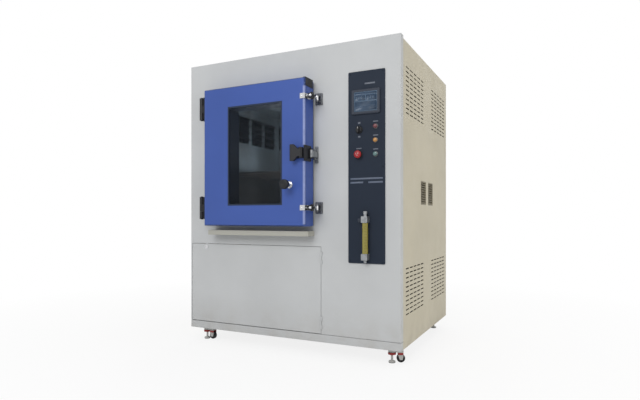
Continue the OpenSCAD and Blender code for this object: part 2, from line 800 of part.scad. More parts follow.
module pilot_lamps() color("seagreen") cab() for (z = lamp_zs) {
  r = lamp_d / 2;
  translate([lamp_x, -panel_t, z]) rotate([90, 0, 0]) {
    rotate_extrude() polygon([
      [0, 0], [r, 0], [r, 4], [r - 2, 6], [r - 3.5, 6], [r - 3.5, 12], [r - 6, 15], [r - 10, 16.5], [0, 17]
    ]);
  }
}

selector_x = panel_x + 62;
selector_z = screen_z - selector_drop;
selector_stem = 8;
estop_x = panel_x + 60;
estop_z = selector_z - estop_drop;
estop_stem = 10;

module switch_collars() color("silver") cab() {
  for (s = [[selector_x, selector_z, selector_d / 2, selector_stem], [estop_x, estop_z, estop_d / 2 + 2, estop_stem]]) {
    translate([s[0], -panel_t, s[1]]) rotate([90, 0, 0]) rotate_extrude() {
      polygon([[s[3] + 0.3, 0], [s[2], 0], [s[2], 3], [s[2] - 3, 7], [s[3] + 0.3, 7]]);
    }
  }
}

module selector_knob() color("black") cab() translate([selector_x, 0, selector_z]) {
  y0 = -panel_t - 7 - gap;
  r = selector_d / 2 - 5;
  bar_y(0, 0, selector_stem, y0 - 1, -1);
  bar_y(0, 0, r, y0 - 5, y0);
  // Grip bar with rounded ends
  xz(y0 - 17, 13) intersection() {
    circle(r);
    translate([-4.5, -r]) square([9, 2 * r]);
  }
}

module estop_button() color("firebrick") cab() translate([estop_x, -panel_t - 7 - gap - estop_travel, estop_z]) {
  r = estop_d / 2;
  rotate([90, 0, 0]) rotate_extrude() polygon([
    [0, 0], [r - 3, 0], [r, 3], [r, 8], [r - 2, 12], [r - 6, 15], [r - 12, 16.5], [0, 17]
  ]);
  bar_y(0, 0, estop_stem, -1, estop_travel + gap + 7 + panel_t - estop_travel - 1);
}

flow_x = panel_cx + 0.5;
flow_y = -panel_t - 20;
flow_z = panel_z + flow_rise;
flow_block = 34;
flow_top = flow_z + flow_block + tube_len;
valve_stem = 4;
valve_z = flow_top + 13;

module flowmeter_body() color("silver") cab() {
  half = 17;
  difference() {
    union() {
      for (z = [flow_z, flow_top]) {
        xz(flow_y - half, 20 + half) translate([flow_x - half, z]) rounded([2 * half, flow_block], 4);
      }
      // Back plate with guard rods beside the tube
      translate([flow_x - 9, flow_y + 17, flow_z + 4]) cube([18, 3, tube_len + 2 * flow_block - 8]);
      bar_z(flow_x, flow_y, 9, flow_top + flow_block, flow_top + flow_block + 10);
      bar_z(flow_x, flow_y, 11, flow_top + flow_block + 10, flow_top + flow_block + 26);
      bar_z(flow_x, flow_y, 8, flow_z - 14, flow_z);
    }
    // Bore of the needle valve
    bar_x(flow_y, valve_z, valve_stem + run, flow_x - half - eps, flow_x - 4);
    for (z = [flow_top - eps, flow_z + flow_block - 6]) bar_z(flow_x, flow_y, tube_r - 4, z, z + 6 + eps);
  }
}

module flowmeter_tube() color("gold", 0.6) cab() {
  z0 = flow_z + flow_block;
  difference() {
    bar_z(flow_x, flow_y, tube_r, z0, z0 + tube_len);
    bar_z(flow_x, flow_y, tube_r - 4, z0 - eps, z0 + tube_len + eps);
  }
}

float_r = 8;
float_z = flow_z + flow_block - 5.5;

module flow_float() color("firebrick") cab() translate([flow_x, flow_y, float_z]) {
  rotate_extrude() polygon([[0, 0], [3, 2], [6, 9], [float_r, 14], [float_r, 18], [5, 22], [0, 22]]);
}

module flow_valve_knob() color("dimgray") cab() {
  x1 = flow_x - 17;
  difference() {
    union() {
      bar_x(flow_y, valve_z, valve_stem, x1 - 6, x1 + 12);
      bar_x(flow_y, valve_z, 11, x1 - 20, x1 - 3);
    }
    // Grip flutes
    for (a = [0 : 30 : 330]) {
      translate([0, flow_y, valve_z]) rotate([a, 0, 0]) bar_x(0, 12, 2, x1 - 21, x1 - 2);
    }
  }
}

knuckle_gap = 22;

module hinge_fixed_leaves() color("black") cab() for (z = hinge_zs) translate([hinge_x, 0, z]) {
  half = hinge_h / 2;
  difference() {
    union() {
      for (s = [-1, 1]) {
        z0 = s > 0 ? knuckle_gap : -half;
        translate([0, 0, z0]) {
          bar_z(0, -hinge_proud, knuckle_r, 0, half - knuckle_gap);
          translate([-10, -hinge_proud, 0]) cube([20, hinge_proud - 2, half - knuckle_gap]);
        }
      }
      // Foot on the fascia
      xz(-6, 6) translate([-44, -half]) rounded([66, hinge_h], 6);
      // Rib between the two arms, behind the moving knuckle
      translate([-10, -40, -half]) cube([20, 36, hinge_h]);
    }
    bar_z(0, -hinge_proud, hinge_pin_r, -half - eps, half + eps);
    for (zz = [-half + 16, half - 16]) bar_y(-32, zz, 4, -8, -2);
  }
  // Pin with its two caps
  bar_z(0, -hinge_proud, hinge_pin_r, -half, half);
  for (s = [-half - 3, half]) bar_z(0, -hinge_proud, 8, s, s + 3);
}

module hinge_moving_leaves() color("black") cab() for (z = hinge_zs) translate([hinge_x, 0, z]) {
  half = knuckle_gap - gap;
  reach = hinge_out;
  difference() {
    union() {
      bar_z(0, -hinge_proud, knuckle_r, -half, half);
      translate([0, -hinge_proud - 10, -half]) cube([reach, 20, 2 * half]);
      // Plate on the door's side
      yz(reach - 6, 6) translate([-door_proud + 4, -hinge_h / 2]) rounded([70, hinge_h], 6);
    }
    bar_z(0, -hinge_proud, hinge_pin_r + run, -half - eps, half + eps);
  }
}

bracket_h = 64;
bracket_w = 44;
ear_t = 6;
eye_half = 11.5;
clamp_pin_r = 4;

module clamp_brackets() color("silver") cab() for (z = clamp_zs) translate([clamp_x, 0, z]) {
  xz(-5, 5) translate([-bracket_w / 2, -bracket_h / 2]) rounded([bracket_w, bracket_h], 5);
  for (s = [-1, 1]) {
    z0 = s > 0 ? eye_half + gap : -eye_half - gap - ear_t;
    difference() {
      union() {
        bar_z(0, -clamp_proud, 9, z0, z0 + ear_t);
        translate([-9, -clamp_proud, z0]) cube([18, clamp_proud - 4, ear_t]);
      }
      bar_z(0, -clamp_proud, clamp_pin_r, z0 - eps, z0 + ear_t + eps);
    }
  }
  end = eye_half + gap + ear_t;
  bar_z(0, -clamp_proud, clamp_pin_r, -end, end);
  for (s = [-end - 3, end]) bar_z(0, -clamp_proud, 6, s, s + 3);
}

lug_t = 6;
lug_y = -clamp_proud - clamp_reach;
lug_h = 28;

module clamp_lugs() color("silver") cab() for (z = clamp_zs) translate([0, 0, z]) {
  difference() {
    union() {
      // Strap round the door's front edge, and the forked ear that the swing bolt enters
      translate([door_r, -door_proud - 4, -lug_h / 2]) cube([4, 64, lug_h]);
      translate([door_r - 26, -door_proud - 4, -lug_h / 2]) cube([26 + eps, 4, lug_h]);
      translate([door_r + 3, lug_y, -lug_h / 2]) cube([clamp_out + 2, lug_t, lug_h]);
    }
    bar_y(clamp_x, 0, swing_bolt_r + 1.2, lug_y - eps, lug_y + lug_t + eps);
    translate([clamp_x, lug_y - eps, -swing_bolt_r - 1.2]) cube([20, lug_t + 2 * eps, 2 * (swing_bolt_r + 1.2)]);
  }
}

nut_y = lug_y - gap;
bolt_end = 24;

module clamp_bolt(z) color("silver") cab() translate([clamp_x, 0, z]) {
  difference() {
    union() {
      bar_z(0, -clamp_proud, 9, -eye_half, eye_half);
      bar_y(0, 0, swing_bolt_r, nut_y - 30 - bolt_end / 3, -clamp_proud - 6);
    }
    bar_z(0, -clamp_proud, clamp_pin_r + run, -eye_half - eps, eye_half + eps);
  }
}

// Star knob with a washer face, on the swing bolt's end
module clamp_knob(z) color("dimgray") cab() translate([clamp_x, 0, z]) {
  lobes = 5;
  difference() {
    union() {
      bar_y(0, 0, 12, nut_y - 4, nut_y);
      bar_y(0, 0, 10, nut_y - 30, nut_y - 3);
      xz(nut_y - 26, 20) {
        circle(clamp_knob_r - 5);
        for (i = [0 : lobes - 1]) rotate(i * 360 / lobes) translate([clamp_knob_r - 5.5, 0]) circle(5.5);
      }
    }
    bar_y(0, 0, swing_bolt_r + run, nut_y - 31, nut_y + eps);
  }
}

module clamp_bolt_upper() clamp_bolt(clamp_zs[0]);
module clamp_bolt_lower() clamp_bolt(clamp_zs[1]);
module clamp_knob_upper() clamp_knob(clamp_zs[0]);
module clamp_knob_lower() clamp_knob(clamp_zs[1]);

door_body_t = door_proud - seal_t - pan_t;

// Solid of the door with its front edges rounded, before the cut-outs
module door_block() {
  r = door_round;
  y0 = -door_proud;
  intersection() {
    xz(y0, door_body_t) translate([door_x, door_z]) rounded([door_w, door_h], 8);
    translate([0, 0, door_z]) linear_extrude(door_h) {
      translate([door_x, y0 + r]) square([door_w, door_body_t - r]);
      translate([door_x + r, y0]) square([door_w - 2 * r, r + eps]);
      for (x = [door_x + r, door_r - r]) translate([x, y0 + r]) circle(r);
    }
    yz(door_x, door_w) {
      translate([y0 + r, door_z]) square([door_body_t - r, door_h]);
      translate([y0, door_z + r]) square([r + eps, door_h - 2 * r]);
      for (z = [door_z + r, door_top - r]) translate([y0 + r, z]) circle(r);
    }
  }
}

// Folded skin of the door, with the tunnel of the window and the sleeve of the wiper's bush
module door_shell() color("royalblue") cab() {
  t = sheet_t;
  difference() {
    door_block();
    xz(-door_proud + t, door_body_t) difference() {
      translate([door_x + t, door_z + t]) rounded([door_w - 2 * t, door_h - 2 * t], 6);
      translate([glass_x - trim_w - t, glass_z - trim_w - t]) {
        square([window_w + 2 * (trim_w + t), window_h + 2 * (trim_w + t)]);
      }
      translate([wiper_x, wiper_z]) circle(9 + t);
    }
    xz(-door_proud - eps, door_proud) translate([glass_x - trim_w, glass_z - trim_w]) {
      square([window_w + 2 * trim_w, window_h + 2 * trim_w]);
    }
    bar_y(wiper_x, wiper_z, 9, -door_proud - eps, 0);
  }
}

module door_inner_pan() color("lightgray") cab() {
  inset = 4;
  xz(pan_y - pan_t, pan_t) difference() {
    translate([door_x + inset, door_z + inset]) rounded([door_w - 2 * inset, door_h - 2 * inset], 6);
    translate([glass_x - trim_w, glass_z - trim_w]) square([window_w + 2 * trim_w, window_h + 2 * trim_w]);
    translate([wiper_x, wiper_z]) circle(9);
  }
}

module door_gasket() color("dimgray") cab() {
  inset = 8;
  face = 0.4;
  xz(pan_y, seal_t - face) difference() {
    translate([door_x + inset, door_z + inset]) rounded([door_w - 2 * inset, door_h - 2 * inset], 10);
    translate([door_x + inset + seal_w, door_z + inset + seal_w]) {
      rounded([door_w - 2 * (inset + seal_w), door_h - 2 * (inset + seal_w)], 4);
    }
  }
}

pane_lap = 5;

module window_panes() color("slategray", 0.4) cab() {
  for (y = [-door_proud + 3, pan_y - pane_t]) xz(y, pane_t) {
    translate([glass_x - pane_lap, glass_z - pane_lap]) square([window_w + 2 * pane_lap, window_h + 2 * pane_lap]);
  }
}

// Rubber channel that lines the window and holds both panes
module window_trim() color("midnightblue") cab() {
  difference() {
    xz(-door_proud, door_proud + pan_y) translate([glass_x - trim_w, glass_z - trim_w]) {
      ring([window_w + 2 * trim_w, window_h + 2 * trim_w], trim_w);
    }
    for (y = [-door_proud + 3, pan_y - pane_t]) xz(y, pane_t) {
      translate([glass_x - pane_lap, glass_z - pane_lap]) square([window_w + 2 * pane_lap, window_h + 2 * pane_lap]);
    }
    xz(pan_y - pane_t, pane_t + eps) translate([glass_x - pane_lap, glass_z - pane_lap]) {
      square([window_w + 2 * pane_lap, window_h + 2 * pane_lap]);
    }
  }
}

case_t = 9.5;
lever_pin = [door_r - 13, -door_proud - case_t - 10.5];
lever_pin_r = 3;
lever_h = latch_h + 4;
neck_half = 20;
face_half = 28;
hook_pin = [door_r + 17, -70];
hook_half = 20;
keeper_pin = [door_r + 14, -22];
keeper_r = 4;

module latch_case() color("black") cab() translate([0, 0, latch_z]) {
  half = latch_h / 2;
  difference() {
    union() {
      // Plate on the door's face, and ears that hold the lever's pin
      xz(-door_proud - case_t, case_t) translate([door_r - latch_w, -face_half]) rounded([latch_w, 2 * face_half], 5);
      for (z0 = [-face_half, neck_half + gap]) {
        h = face_half - neck_half - gap;
        bar_z(lever_pin.x, lever_pin.y, 10, z0, z0 + h);
        translate([lever_pin.x - 10, lever_pin.y, z0]) cube([20, 12, h]);
      }
      // Plate on the door's side, and ears that hold the hook's pin
      yz(door_r, 7) translate([-door_proud - case_t, -half]) rounded([76, latch_h], 6);
      for (z0 = [-hook_half - gap - 6, hook_half + gap]) {
        bar_z(hook_pin.x, hook_pin.y, 8, z0, z0 + 6);
        translate([door_r + 6, hook_pin.y - 8, z0]) cube([hook_pin.x - door_r - 6, 16, 6]);
      }
    }
    // Recess behind the lever for the fingers
    translate([door_r - latch_w + 8, -door_proud - case_t - eps, -face_half + 8]) {
      cube([30, 5, 2 * face_half - 16]);
    }
  }
  bar_z(lever_pin.x, lever_pin.y, lever_pin_r, -face_half, face_half);
  bar_z(hook_pin.x, hook_pin.y, 3, -hook_half - 7, hook_half + 7);
}

// Paddle lever, taller at its free end
module latch_lever() color("black") cab() translate([lever_pin.x, lever_pin.y, latch_z]) {
  half = lever_h / 2;
  reach = latch_w - 20;
  difference() {
    intersection() {
      union() {
        bar_z(0, 0, 10, -neck_half, neck_half);
        translate([0, 0, -half]) linear_extrude(lever_h) polygon([
          [0, 10], [-16, 10], [-26, 2], [-reach, -6], [-reach - 4, -14], [-reach + 2, -19], [-24, -14], [0, -10]
        ]);
      }
      xz(-30, 60) polygon([
        [-reach - 10, -half], [-reach + 18, -half], [-14, -neck_half], [12, -neck_half],
        [12, neck_half], [-14, neck_half], [-reach + 18, half], [-reach - 10, half]
      ]);
    }
    bar_z(0, 0, lever_pin_r + run, -half - eps, half + eps);
  }
}

// Hook whose claw stands behind the keeper's pin
module latch_hook() color("black") cab() translate([hook_pin.x, hook_pin.y, latch_z]) {
  dx = keeper_pin.x - hook_pin.x;
  dy = keeper_pin.y - hook_pin.y;
  side = dx + keeper_r + gap;
  difference() {
    union() {
      bar_z(0, 0, 8, -hook_half, hook_half);
      translate([0, 0, -hook_half + 4]) linear_extrude(2 * hook_half - 8) polygon([
        [side, 4], [8, 0], [side + 8, dy - 10], [side + 8, dy + 12], [side, dy + 14],
        [dx - 3, dy + 10], [dx - 3, dy + keeper_r + gap], [side, dy + keeper_r + gap]
      ]);
    }
    bar_z(0, 0, 3 + run, -hook_half - eps, hook_half + eps);
  }
}

module latch_keeper() color("black") cab() translate([0, 0, latch_z]) {
  half = hook_half + 2;
  difference() {
    union() {
      xz(-4, 4) translate([door_r + 6, -half - 24]) rounded([20, 2 * half + 48], 4);
      for (z0 = [-half - 6, half]) {
        translate([keeper_pin.x - 7, keeper_pin.y - 7, z0]) cube([14, -keeper_pin.y + 7 - 3, 6]);
      }
    }
    for (z0 = [-half - 6, half]) bar_z(keeper_pin.x, keeper_pin.y, keeper_r, z0 - eps, z0 + 7);
  }
  bar_z(keeper_pin.x, keeper_pin.y, keeper_r, -half - 6, half + 6);
}

spindle_r = 6;
bush_proud = 26;
bush_flange_r = 19;

module wiper_bush() color("silver") cab() {
  difference() {
    union() {
      bar_y(wiper_x, wiper_z, 9, -door_proud, pan_y);
      bar_y(wiper_x, wiper_z, bush_flange_r, -door_proud - 6, -door_proud);
      bar_y(wiper_x, wiper_z, bush_flange_r - 2, -door_proud - 8, -door_proud - 5);
      bar_y(wiper_x, wiper_z, 13, -door_proud - bush_proud, -door_proud - 7);
    }
    bar_y(wiper_x, wiper_z, spindle_r + run, -door_proud - bush_proud - eps, pan_y + eps);
  }
}

module wiper_knob() color("black") cab() translate([wiper_x, 0, wiper_z]) {
  neck = 10;
  translate([0, -door_proud - bush_proud - gap, 0]) rotate([90, 0, 0]) {
    h = wiper_knob_proud - bush_proud - gap;
    r = wiper_knob_r;
    difference() {
      rotate_extrude() polygon([
        [0, 0], [neck, 0], [neck, h - 30], [r - 6, h - 26], [r, h - 20], [r, h - 5], [r - 3, h - 1], [r - 6, h], [0, h]
      ]);
      for (a = [0 : 30 : 330]) rotate(a) translate([r + 2.5, 0, h - 28]) cylinder(r = 4, h = 30, $fn = 24);
      translate([0, 0, -eps]) cylinder(r = spindle_r, h = 20 + eps);
    }
  }
}

arm_y = 2;
arm_t = 4;
blade_from = wiper_out + 53;

// Spindle, arm and blade of the wiper, parked upright beside the glass
module wiper_arm() color("silver") cab() translate([wiper_x, 0, wiper_z]) {
  bar_y(0, 0, spindle_r, -door_proud - bush_proud - gap - 19, arm_y);
  bar_y(0, 0, 13, pan_y + gap, arm_y + arm_t);
  xz(arm_y, arm_t) {
    translate([-5, 0]) square([10, blade_from + (wiper_len - blade_from) * 10 / 13]);
    circle(13);
  }
  translate([-3, pan_y + gap, blade_from]) cube([6, arm_y + 1 - pan_y - gap, wiper_len - blade_from]);
  translate([-7, arm_y - 6, blade_from + 10]) cube([14, 6.5, wiper_len - blade_from - 20]);
}

module service_panel() color("gainsboro") cab() {
  w = service_r - service_edge;
  h = service_top - service_z;
  fold = 16;
  translate([0, 0, service_z]) {
    xz(0, sheet_t) difference() {
      translate([service_edge, 0]) square([w, h]);
      translate([lock_x, lock_z - service_z]) circle(lock_r + run);
    }
    for (x = [service_edge, service_r - sheet_t]) translate([x, 0, 0]) cube([sheet_t, fold, h - 30]);
    translate([service_edge, 0, 0]) cube([w, fold, sheet_t]);
  }
  service_knuckles(-1);
}

lock_r = 9;

// Quarter-turn lock: slotted head, barrel and the tongue behind the fascia's edge
module service_lock() color("silver") cab() translate([lock_x, 0, lock_z]) {
  difference() {
    union() {
      bar_y(0, 0, 12, -3, -0.3);
      bar_y(0, 0, lock_r, -1, 12);
    }
    translate([-8, -4, -1.2]) cube([16, 2.5, 2.4]);
  }
  tongue = service_top + seam + 12 - lock_z;
  xz(4, 3) translate([-8, -8]) rounded([16, tongue + 8], 4);
}

caster_spots = [
  [caster_inset, caster_inset], [cabinet_w - caster_inset, caster_inset],
  [cabinet_w - caster_inset, cabinet_d - caster_inset], [caster_inset, cabinet_d - caster_inset]
];
// Way each caster's wheel points at rest
caster_turns = [0, 25, -120, 150];
plate_t = 6;
trail = 46;
wheel_w = 18;
wheel_lift = 2;
cheek_t = 5;
axle_r = 3;
king_r = 8;
thumb_r = 21;

module caster_plates() color("silver") cab() for (p = caster_spots) translate([p.x, p.y, -plate_t]) {
  size = 84;
  difference() {
    translate([-size / 2, -size / 2]) linear_extrude(plate_t) rounded([size, size], 6);
    for (x = [-33, 33], y = [-33, 33]) bar_z(x, y, 4.5, -eps, 2);
    bar_z(0, 0, king_r + run, -eps, plate_t + eps);
  }
}

// Swivel casting with the levelling screw, its thumb wheel and the rubber foot
module caster_swivel(i) color("silver") cab() translate([caster_spots[i].x, caster_spots[i].y, -caster_h]) {
  top = caster_h - plate_t - gap;
  side = wheel_w / 2 + 1.5;
  rotate(caster_turns[i]) {
    bar_z(0, 0, 28, top - 7, top);
    // King pin in the plate's bore
    bar_z(0, 0, king_r, top - 1, top + gap + plate_t - 1);
    // Casting that bridges from the pivot to the wheel's cheeks
    translate([0, 0, top - 17]) linear_extrude(11) {
      circle(side + cheek_t + 4);
      translate([0, -side - cheek_t]) square([trail + 12, 2 * (side + cheek_t)]);
    }
    for (s = [-1, 1]) {
      y1 = s > 0 ? side + cheek_t : -side;
      xz(y1 - cheek_t, cheek_t) polygon([
        [trail - 15, top - 8], [trail + 12, top - 8], [trail + 12, 38], [trail + 7, 17], [trail - 7, 17], [trail - 15, 38]
      ]);
    }
    bar_y(trail, wheel_r + wheel_lift, axle_r, -side - cheek_t, side + cheek_t);
    // Levelling screw, thumb wheel and foot
    bar_z(0, 0, 6, 7, top - 8);
    difference() {
      bar_z(0, 0, thumb_r, 43, 54);
      for (a = [15 : 30 : 345]) rotate(a) translate([thumb_r + 1, 0, 42]) cylinder(r = 3, h = 13, $fn = 16);
    }
    rotate_extrude() polygon([[0, 0], [17, 0], [18, 1.5], [18, 7], [16, 9], [9, 12], [0, 12]]);
  }
}

module caster_wheel(i) color("black") cab() translate([caster_spots[i].x, caster_spots[i].y, -caster_h]) {
  rotate(caster_turns[i]) translate([trail, wheel_w / 2, wheel_r + wheel_lift]) rotate([90, 0, 0]) {
    difference() {
      rotate_extrude() polygon([
        [axle_r + run, 0], [8, 0], [8, 1.5], [wheel_r - 5, 2.5], [wheel_r - 4, 0], [wheel_r - 2, 0], [wheel_r, 2],
        [wheel_r, wheel_w - 2], [wheel_r - 2, wheel_w], [wheel_r - 4, wheel_w], [wheel_r - 5, wheel_w - 2.5],
        [8, wheel_w - 1.5], [8, wheel_w], [axle_r + run, wheel_w]
      ]);
    }
  }
}

module caster_swivel_1() caster_swivel(0);
module caster_swivel_2() caster_swivel(1);
module caster_swivel_3() caster_swivel(2);
module caster_swivel_4() caster_swivel(3);
module caster_wheel_1() caster_wheel(0);
module caster_wheel_2() caster_wheel(1);
module caster_wheel_3() caster_wheel(2);
module caster_wheel_4() caster_wheel(3);

base_frame();
inner_frame();
front_fascia();
door_sill();
left_side_panel();
right_side_panel();
side_grilles();
rear_panel();
top_cover();
chamber_liner();
hopper();
suction_pipe();
blower_housing();
blower_motor();
supply_duct();
specimen_shelf();
vacuum_pump();
control_panel();
screen_bezel();
screen_glass();
pilot_lamps();
switch_collars();
flowmeter_body();
flowmeter_tube();
hinge_fixed_leaves();
clamp_brackets();
latch_keeper();
caster_plates();
door_shell();
door_inner_pan();
door_gasket();
window_panes();
window_trim();
hinge_moving_leaves();
latch_case();
clamp_lugs();
wiper_bush();
wiper_knob();
wiper_arm();
latch_lever();
latch_hook();
clamp_bolt_upper();
clamp_bolt_lower();
clamp_knob_upper();
clamp_knob_lower();
selector_knob();
estop_button();
flow_valve_knob();
flow_float();
service_panel();
service_lock();
blower_impeller();
caster_swivel_1();
caster_swivel_2();
caster_swivel_3();
caster_swivel_4();
caster_wheel_1();
caster_wheel_2();
caster_wheel_3();
caster_wheel_4();
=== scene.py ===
"""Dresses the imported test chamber: finishes for every solid, small fittings, light, floor and camera."""
import math

import bmesh
import bpy
from mathutils import Matrix, Vector


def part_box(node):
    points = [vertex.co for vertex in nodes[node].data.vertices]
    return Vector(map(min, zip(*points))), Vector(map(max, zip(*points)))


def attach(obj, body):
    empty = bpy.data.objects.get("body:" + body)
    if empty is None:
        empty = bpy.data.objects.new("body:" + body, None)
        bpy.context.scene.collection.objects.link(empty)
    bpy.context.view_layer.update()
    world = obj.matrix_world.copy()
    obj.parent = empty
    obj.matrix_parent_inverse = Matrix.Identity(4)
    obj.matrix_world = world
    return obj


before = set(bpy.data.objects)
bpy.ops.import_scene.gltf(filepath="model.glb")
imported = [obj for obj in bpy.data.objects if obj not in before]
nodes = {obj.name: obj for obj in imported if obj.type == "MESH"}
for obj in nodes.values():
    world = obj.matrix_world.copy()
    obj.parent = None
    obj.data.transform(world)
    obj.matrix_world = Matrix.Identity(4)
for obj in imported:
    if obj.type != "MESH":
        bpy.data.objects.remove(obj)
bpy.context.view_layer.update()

# Cabinet coordinates in millimetres: x from the left side, y from the fascia to the rear, and z from the
# underside of the base frame
ORIGIN = Vector((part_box("base_frame")[0].x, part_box("control_panel")[1].y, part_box("base_frame")[0].z))
MM_PER_M = 1000
FRONT = (0, -1, 0)
RIGHT = (1, 0, 0)
LEFT = (-1, 0, 0)
REAR = (0, 1, 0)
UP = (0, 0, 1)
DOWN = (0, 0, -1)


def at(x, y, z):
    """A place in cabinet coordinates, in the row frame in metres."""
    return ORIGIN + Vector((x, y, z)) / MM_PER_M


class Box:
    """A node's box in cabinet coordinates."""

    def __init__(self, node):
        low, high = (MM_PER_M * (corner - ORIGIN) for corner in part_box(node))
        self.x0, self.y0, self.z0 = low
        self.x1, self.y1, self.z1 = high
        self.cx, self.cy, self.cz = (low + high) / 2


DOOR = Box("door_shell")
PANEL = Box("control_panel")
SCREEN = Box("screen_glass")
LATCH = Box("latch_case")
CLAMPS = Box("clamp_brackets")
LAMPS = Box("pilot_lamps")
LINER = Box("chamber_liner")
SHEET = 2
REAR_Y = Box("right_side_panel").y1 + SHEET

# Heights of the two swing clamps, in the middle of their brackets
BRACKET_HALF = 32
CLAMP_ZS = [CLAMPS.z1 - BRACKET_HALF, CLAMPS.z0 + BRACKET_HALF]


def linear(r, g, b):
    """A display colour from 0 to 255 as a shader colour, by the standard display curve."""
    def one(c):
        c = c / 255
        return c / 12.92 if c <= 0.04045 else ((c + 0.055) / 1.055) ** 2.4
    return (one(r), one(g), one(b), 1)


def scaled(colour, factor):
    """A shader colour made lighter or darker."""
    return tuple(min(1, c * factor) for c in colour[:3]) + (1,)


# Darker, browner tone that the paints take on towards the bottom
LOW_DOWN_TONE = linear(150, 142, 128)
TEST_DUST = linear(104, 98, 88)

# Sockets of a Mix node that mixes colours
MIX_FACTOR, MIX_A, MIX_B, MIX_RESULT = 0, 6, 7, 2


class Finish:
    """A node material that is put together a step at a time."""

    def __init__(self, name, colour, rough, metal=0.0):
        self.mat = bpy.data.materials.new(name)
        self.mat.use_nodes = True
        self.tree = self.mat.node_tree
        self.bsdf = self.tree.nodes["Principled BSDF"]
        self.colour = linear(*colour)
        self.put("Base Color", self.colour)
        self.put("Roughness", rough)
        self.put("Metallic", metal)
        self.mat.diffuse_color = self.colour
        self.coord = self.add("ShaderNodeTexCoord").outputs["Object"]
        self.normal = None

    def put(self, socket, value):
        """Sets a plain value on the surface itself."""
        self.bsdf.inputs[socket].default_value = value

    def add(self, kind, links=None, **values):
        node = self.tree.nodes.new(kind)
        for key, value in values.items():
            name = key.replace("_", " ")
            if key in node.inputs:
                node.inputs[key].default_value = value
            elif name in node.inputs:
                node.inputs[name].default_value = value
            else:
                setattr(node, key, value)
        for key, source in (links or {}).items():
            self.tree.links.new(source, node.inputs[key])
        return node

    def stretched(self, sx, sy, sz):
        return self.add("ShaderNodeMapping", {"Vector": self.coord}, Scale=(sx, sy, sz)).outputs["Vector"]

    def noise(self, scale, detail, vector=None):
        return self.add("ShaderNodeTexNoise", {"Vector": vector or self.coord}, Scale=scale,
                        Detail=detail).outputs["Fac"]

    def math(self, operation, a, b=0.0):
        node = self.add("ShaderNodeMath", operation=operation)
        for i, value in enumerate((a, b)):
            if isinstance(value, (int, float)):
                node.inputs[i].default_value = value
            else:
                self.tree.links.new(value, node.inputs[i])
        return node.outputs[0]

    def range(self, source, low, high, to_low, to_high):
        node = self.add("ShaderNodeMapRange", {"Value": source})
        for key, value in (("From Min", low), ("From Max", high), ("To Min", to_low), ("To Max", to_high)):
            node.inputs[key].default_value = value
        return node.outputs["Result"]

    def mix(self, factor, a, b):
        node = self.add("ShaderNodeMix", data_type="RGBA")
        for i, value in ((MIX_FACTOR, factor), (MIX_A, a), (MIX_B, b)):
            if hasattr(value, "is_linked"):
                self.tree.links.new(value, node.inputs[i])
            else:
                node.inputs[i].default_value = value
        return node.outputs[MIX_RESULT]

    def tint(self, source):
        self.tree.links.new(source, self.bsdf.inputs["Base Color"])

    def gloss(self, source):
        self.tree.links.new(source, self.bsdf.inputs["Roughness"])

    def edge(self, radius):
        """Rounds the look of every sharp edge by a radius in metres."""
        self.normal = self.add("ShaderNodeBevel", Radius=radius, samples=4).outputs["Normal"]
        self.tree.links.new(self.normal, self.bsdf.inputs["Normal"])

    def bump(self, height, strength, distance):
        links = {"Height": height}
        if self.normal:
            links["Normal"] = self.normal
        node = self.add("ShaderNodeBump", links, Strength=strength, Distance=distance)
        self.normal = node.outputs["Normal"]
        self.tree.links.new(self.normal, self.bsdf.inputs["Normal"])

    def axis(self, name):
        return self.add("ShaderNodeSeparateXYZ", {"Vector": self.coord}).outputs[name]

    def where(self, axis, low, high):
        """1 where the object coordinate on an axis lies between two values in metres, else 0."""
        value = self.axis(axis)
        above = self.math("GREATER_THAN", value, low)
        return self.math("MULTIPLY", above, self.math("LESS_THAN", value, high))


def powder_coat(name, colour, rough=0.42, peel=0.12, vary=0.05, edge=0.0012, shine=0.3):
    """Baked powder coat: orange peel, faint clouding, fine specks, and a patchy darker, browner tone low
    down.
    """
    tone_low, tone_top = 0.08, 0.3
    f = Finish(name, colour, rough)
    f.put("Specular IOR Level", shine)
    f.edge(edge)
    cloud = f.noise(2.3, detail=4)
    speck = f.noise(1500, detail=1)
    darker = scaled(f.colour, 1 - vary)
    lighter = scaled(f.colour, 1 + vary * 0.6)
    base = f.mix(f.range(cloud, 0.35, 0.65, 0, 1), darker, lighter)
    specked = f.mix(f.range(speck, 0.62, 0.8, 0, 0.35), base, darker)
    # Darker and browner towards the bottom, in patches, from 0.08 to 0.3 m up
    low_down = f.range(f.axis("Z"), tone_low, tone_top, 0.3, 0)
    dust = f.math("MULTIPLY", low_down, f.range(f.noise(9, detail=5), 0.4, 0.7, 0.2, 1))
    f.tint(f.mix(dust, specked, LOW_DOWN_TONE))
    f.gloss(f.range(f.noise(14, detail=4), 0.3, 0.7, rough - 0.05, rough + 0.07))
    f.bump(f.noise(420, detail=3), strength=peel, distance=0.0004)
    return f.mat


def brushed_finish(name, colour, rough, along, dusty):
    """Brushed sheet metal with its grain along one axis, faint smears and, inside, a film of test dust."""
    fine, coarse = 900, 6
    f = Finish(name, colour, rough, 1.0 if dusty == 0 else 0.85)
    f.edge(0.0008)
    grain = f.noise(1, detail=2, vector=f.stretched(*(coarse if axis == along else fine for axis in "xyz")))
    smear = f.noise(3.5, detail=5)
    base = f.mix(f.range(grain, 0.3, 0.7, 0, 1), scaled(f.colour, 0.82), f.colour)
    f.tint(f.mix(f.range(f.noise(5, detail=6), 0.35, 0.7, 0, dusty), base, TEST_DUST))
    f.gloss(f.math("ADD", f.range(grain, 0.3, 0.7, rough - 0.05, rough + 0.1),
                   f.range(smear, 0.4, 0.7, 0, 0.1 + dusty)))
    f.bump(grain, strength=0.12, distance=0.0002)
    f.put("Anisotropic", 0.5)
    return f


def brushed(name, colour, rough, along, dusty=0.0):
    return brushed_finish(name, colour, rough, along, dusty).mat


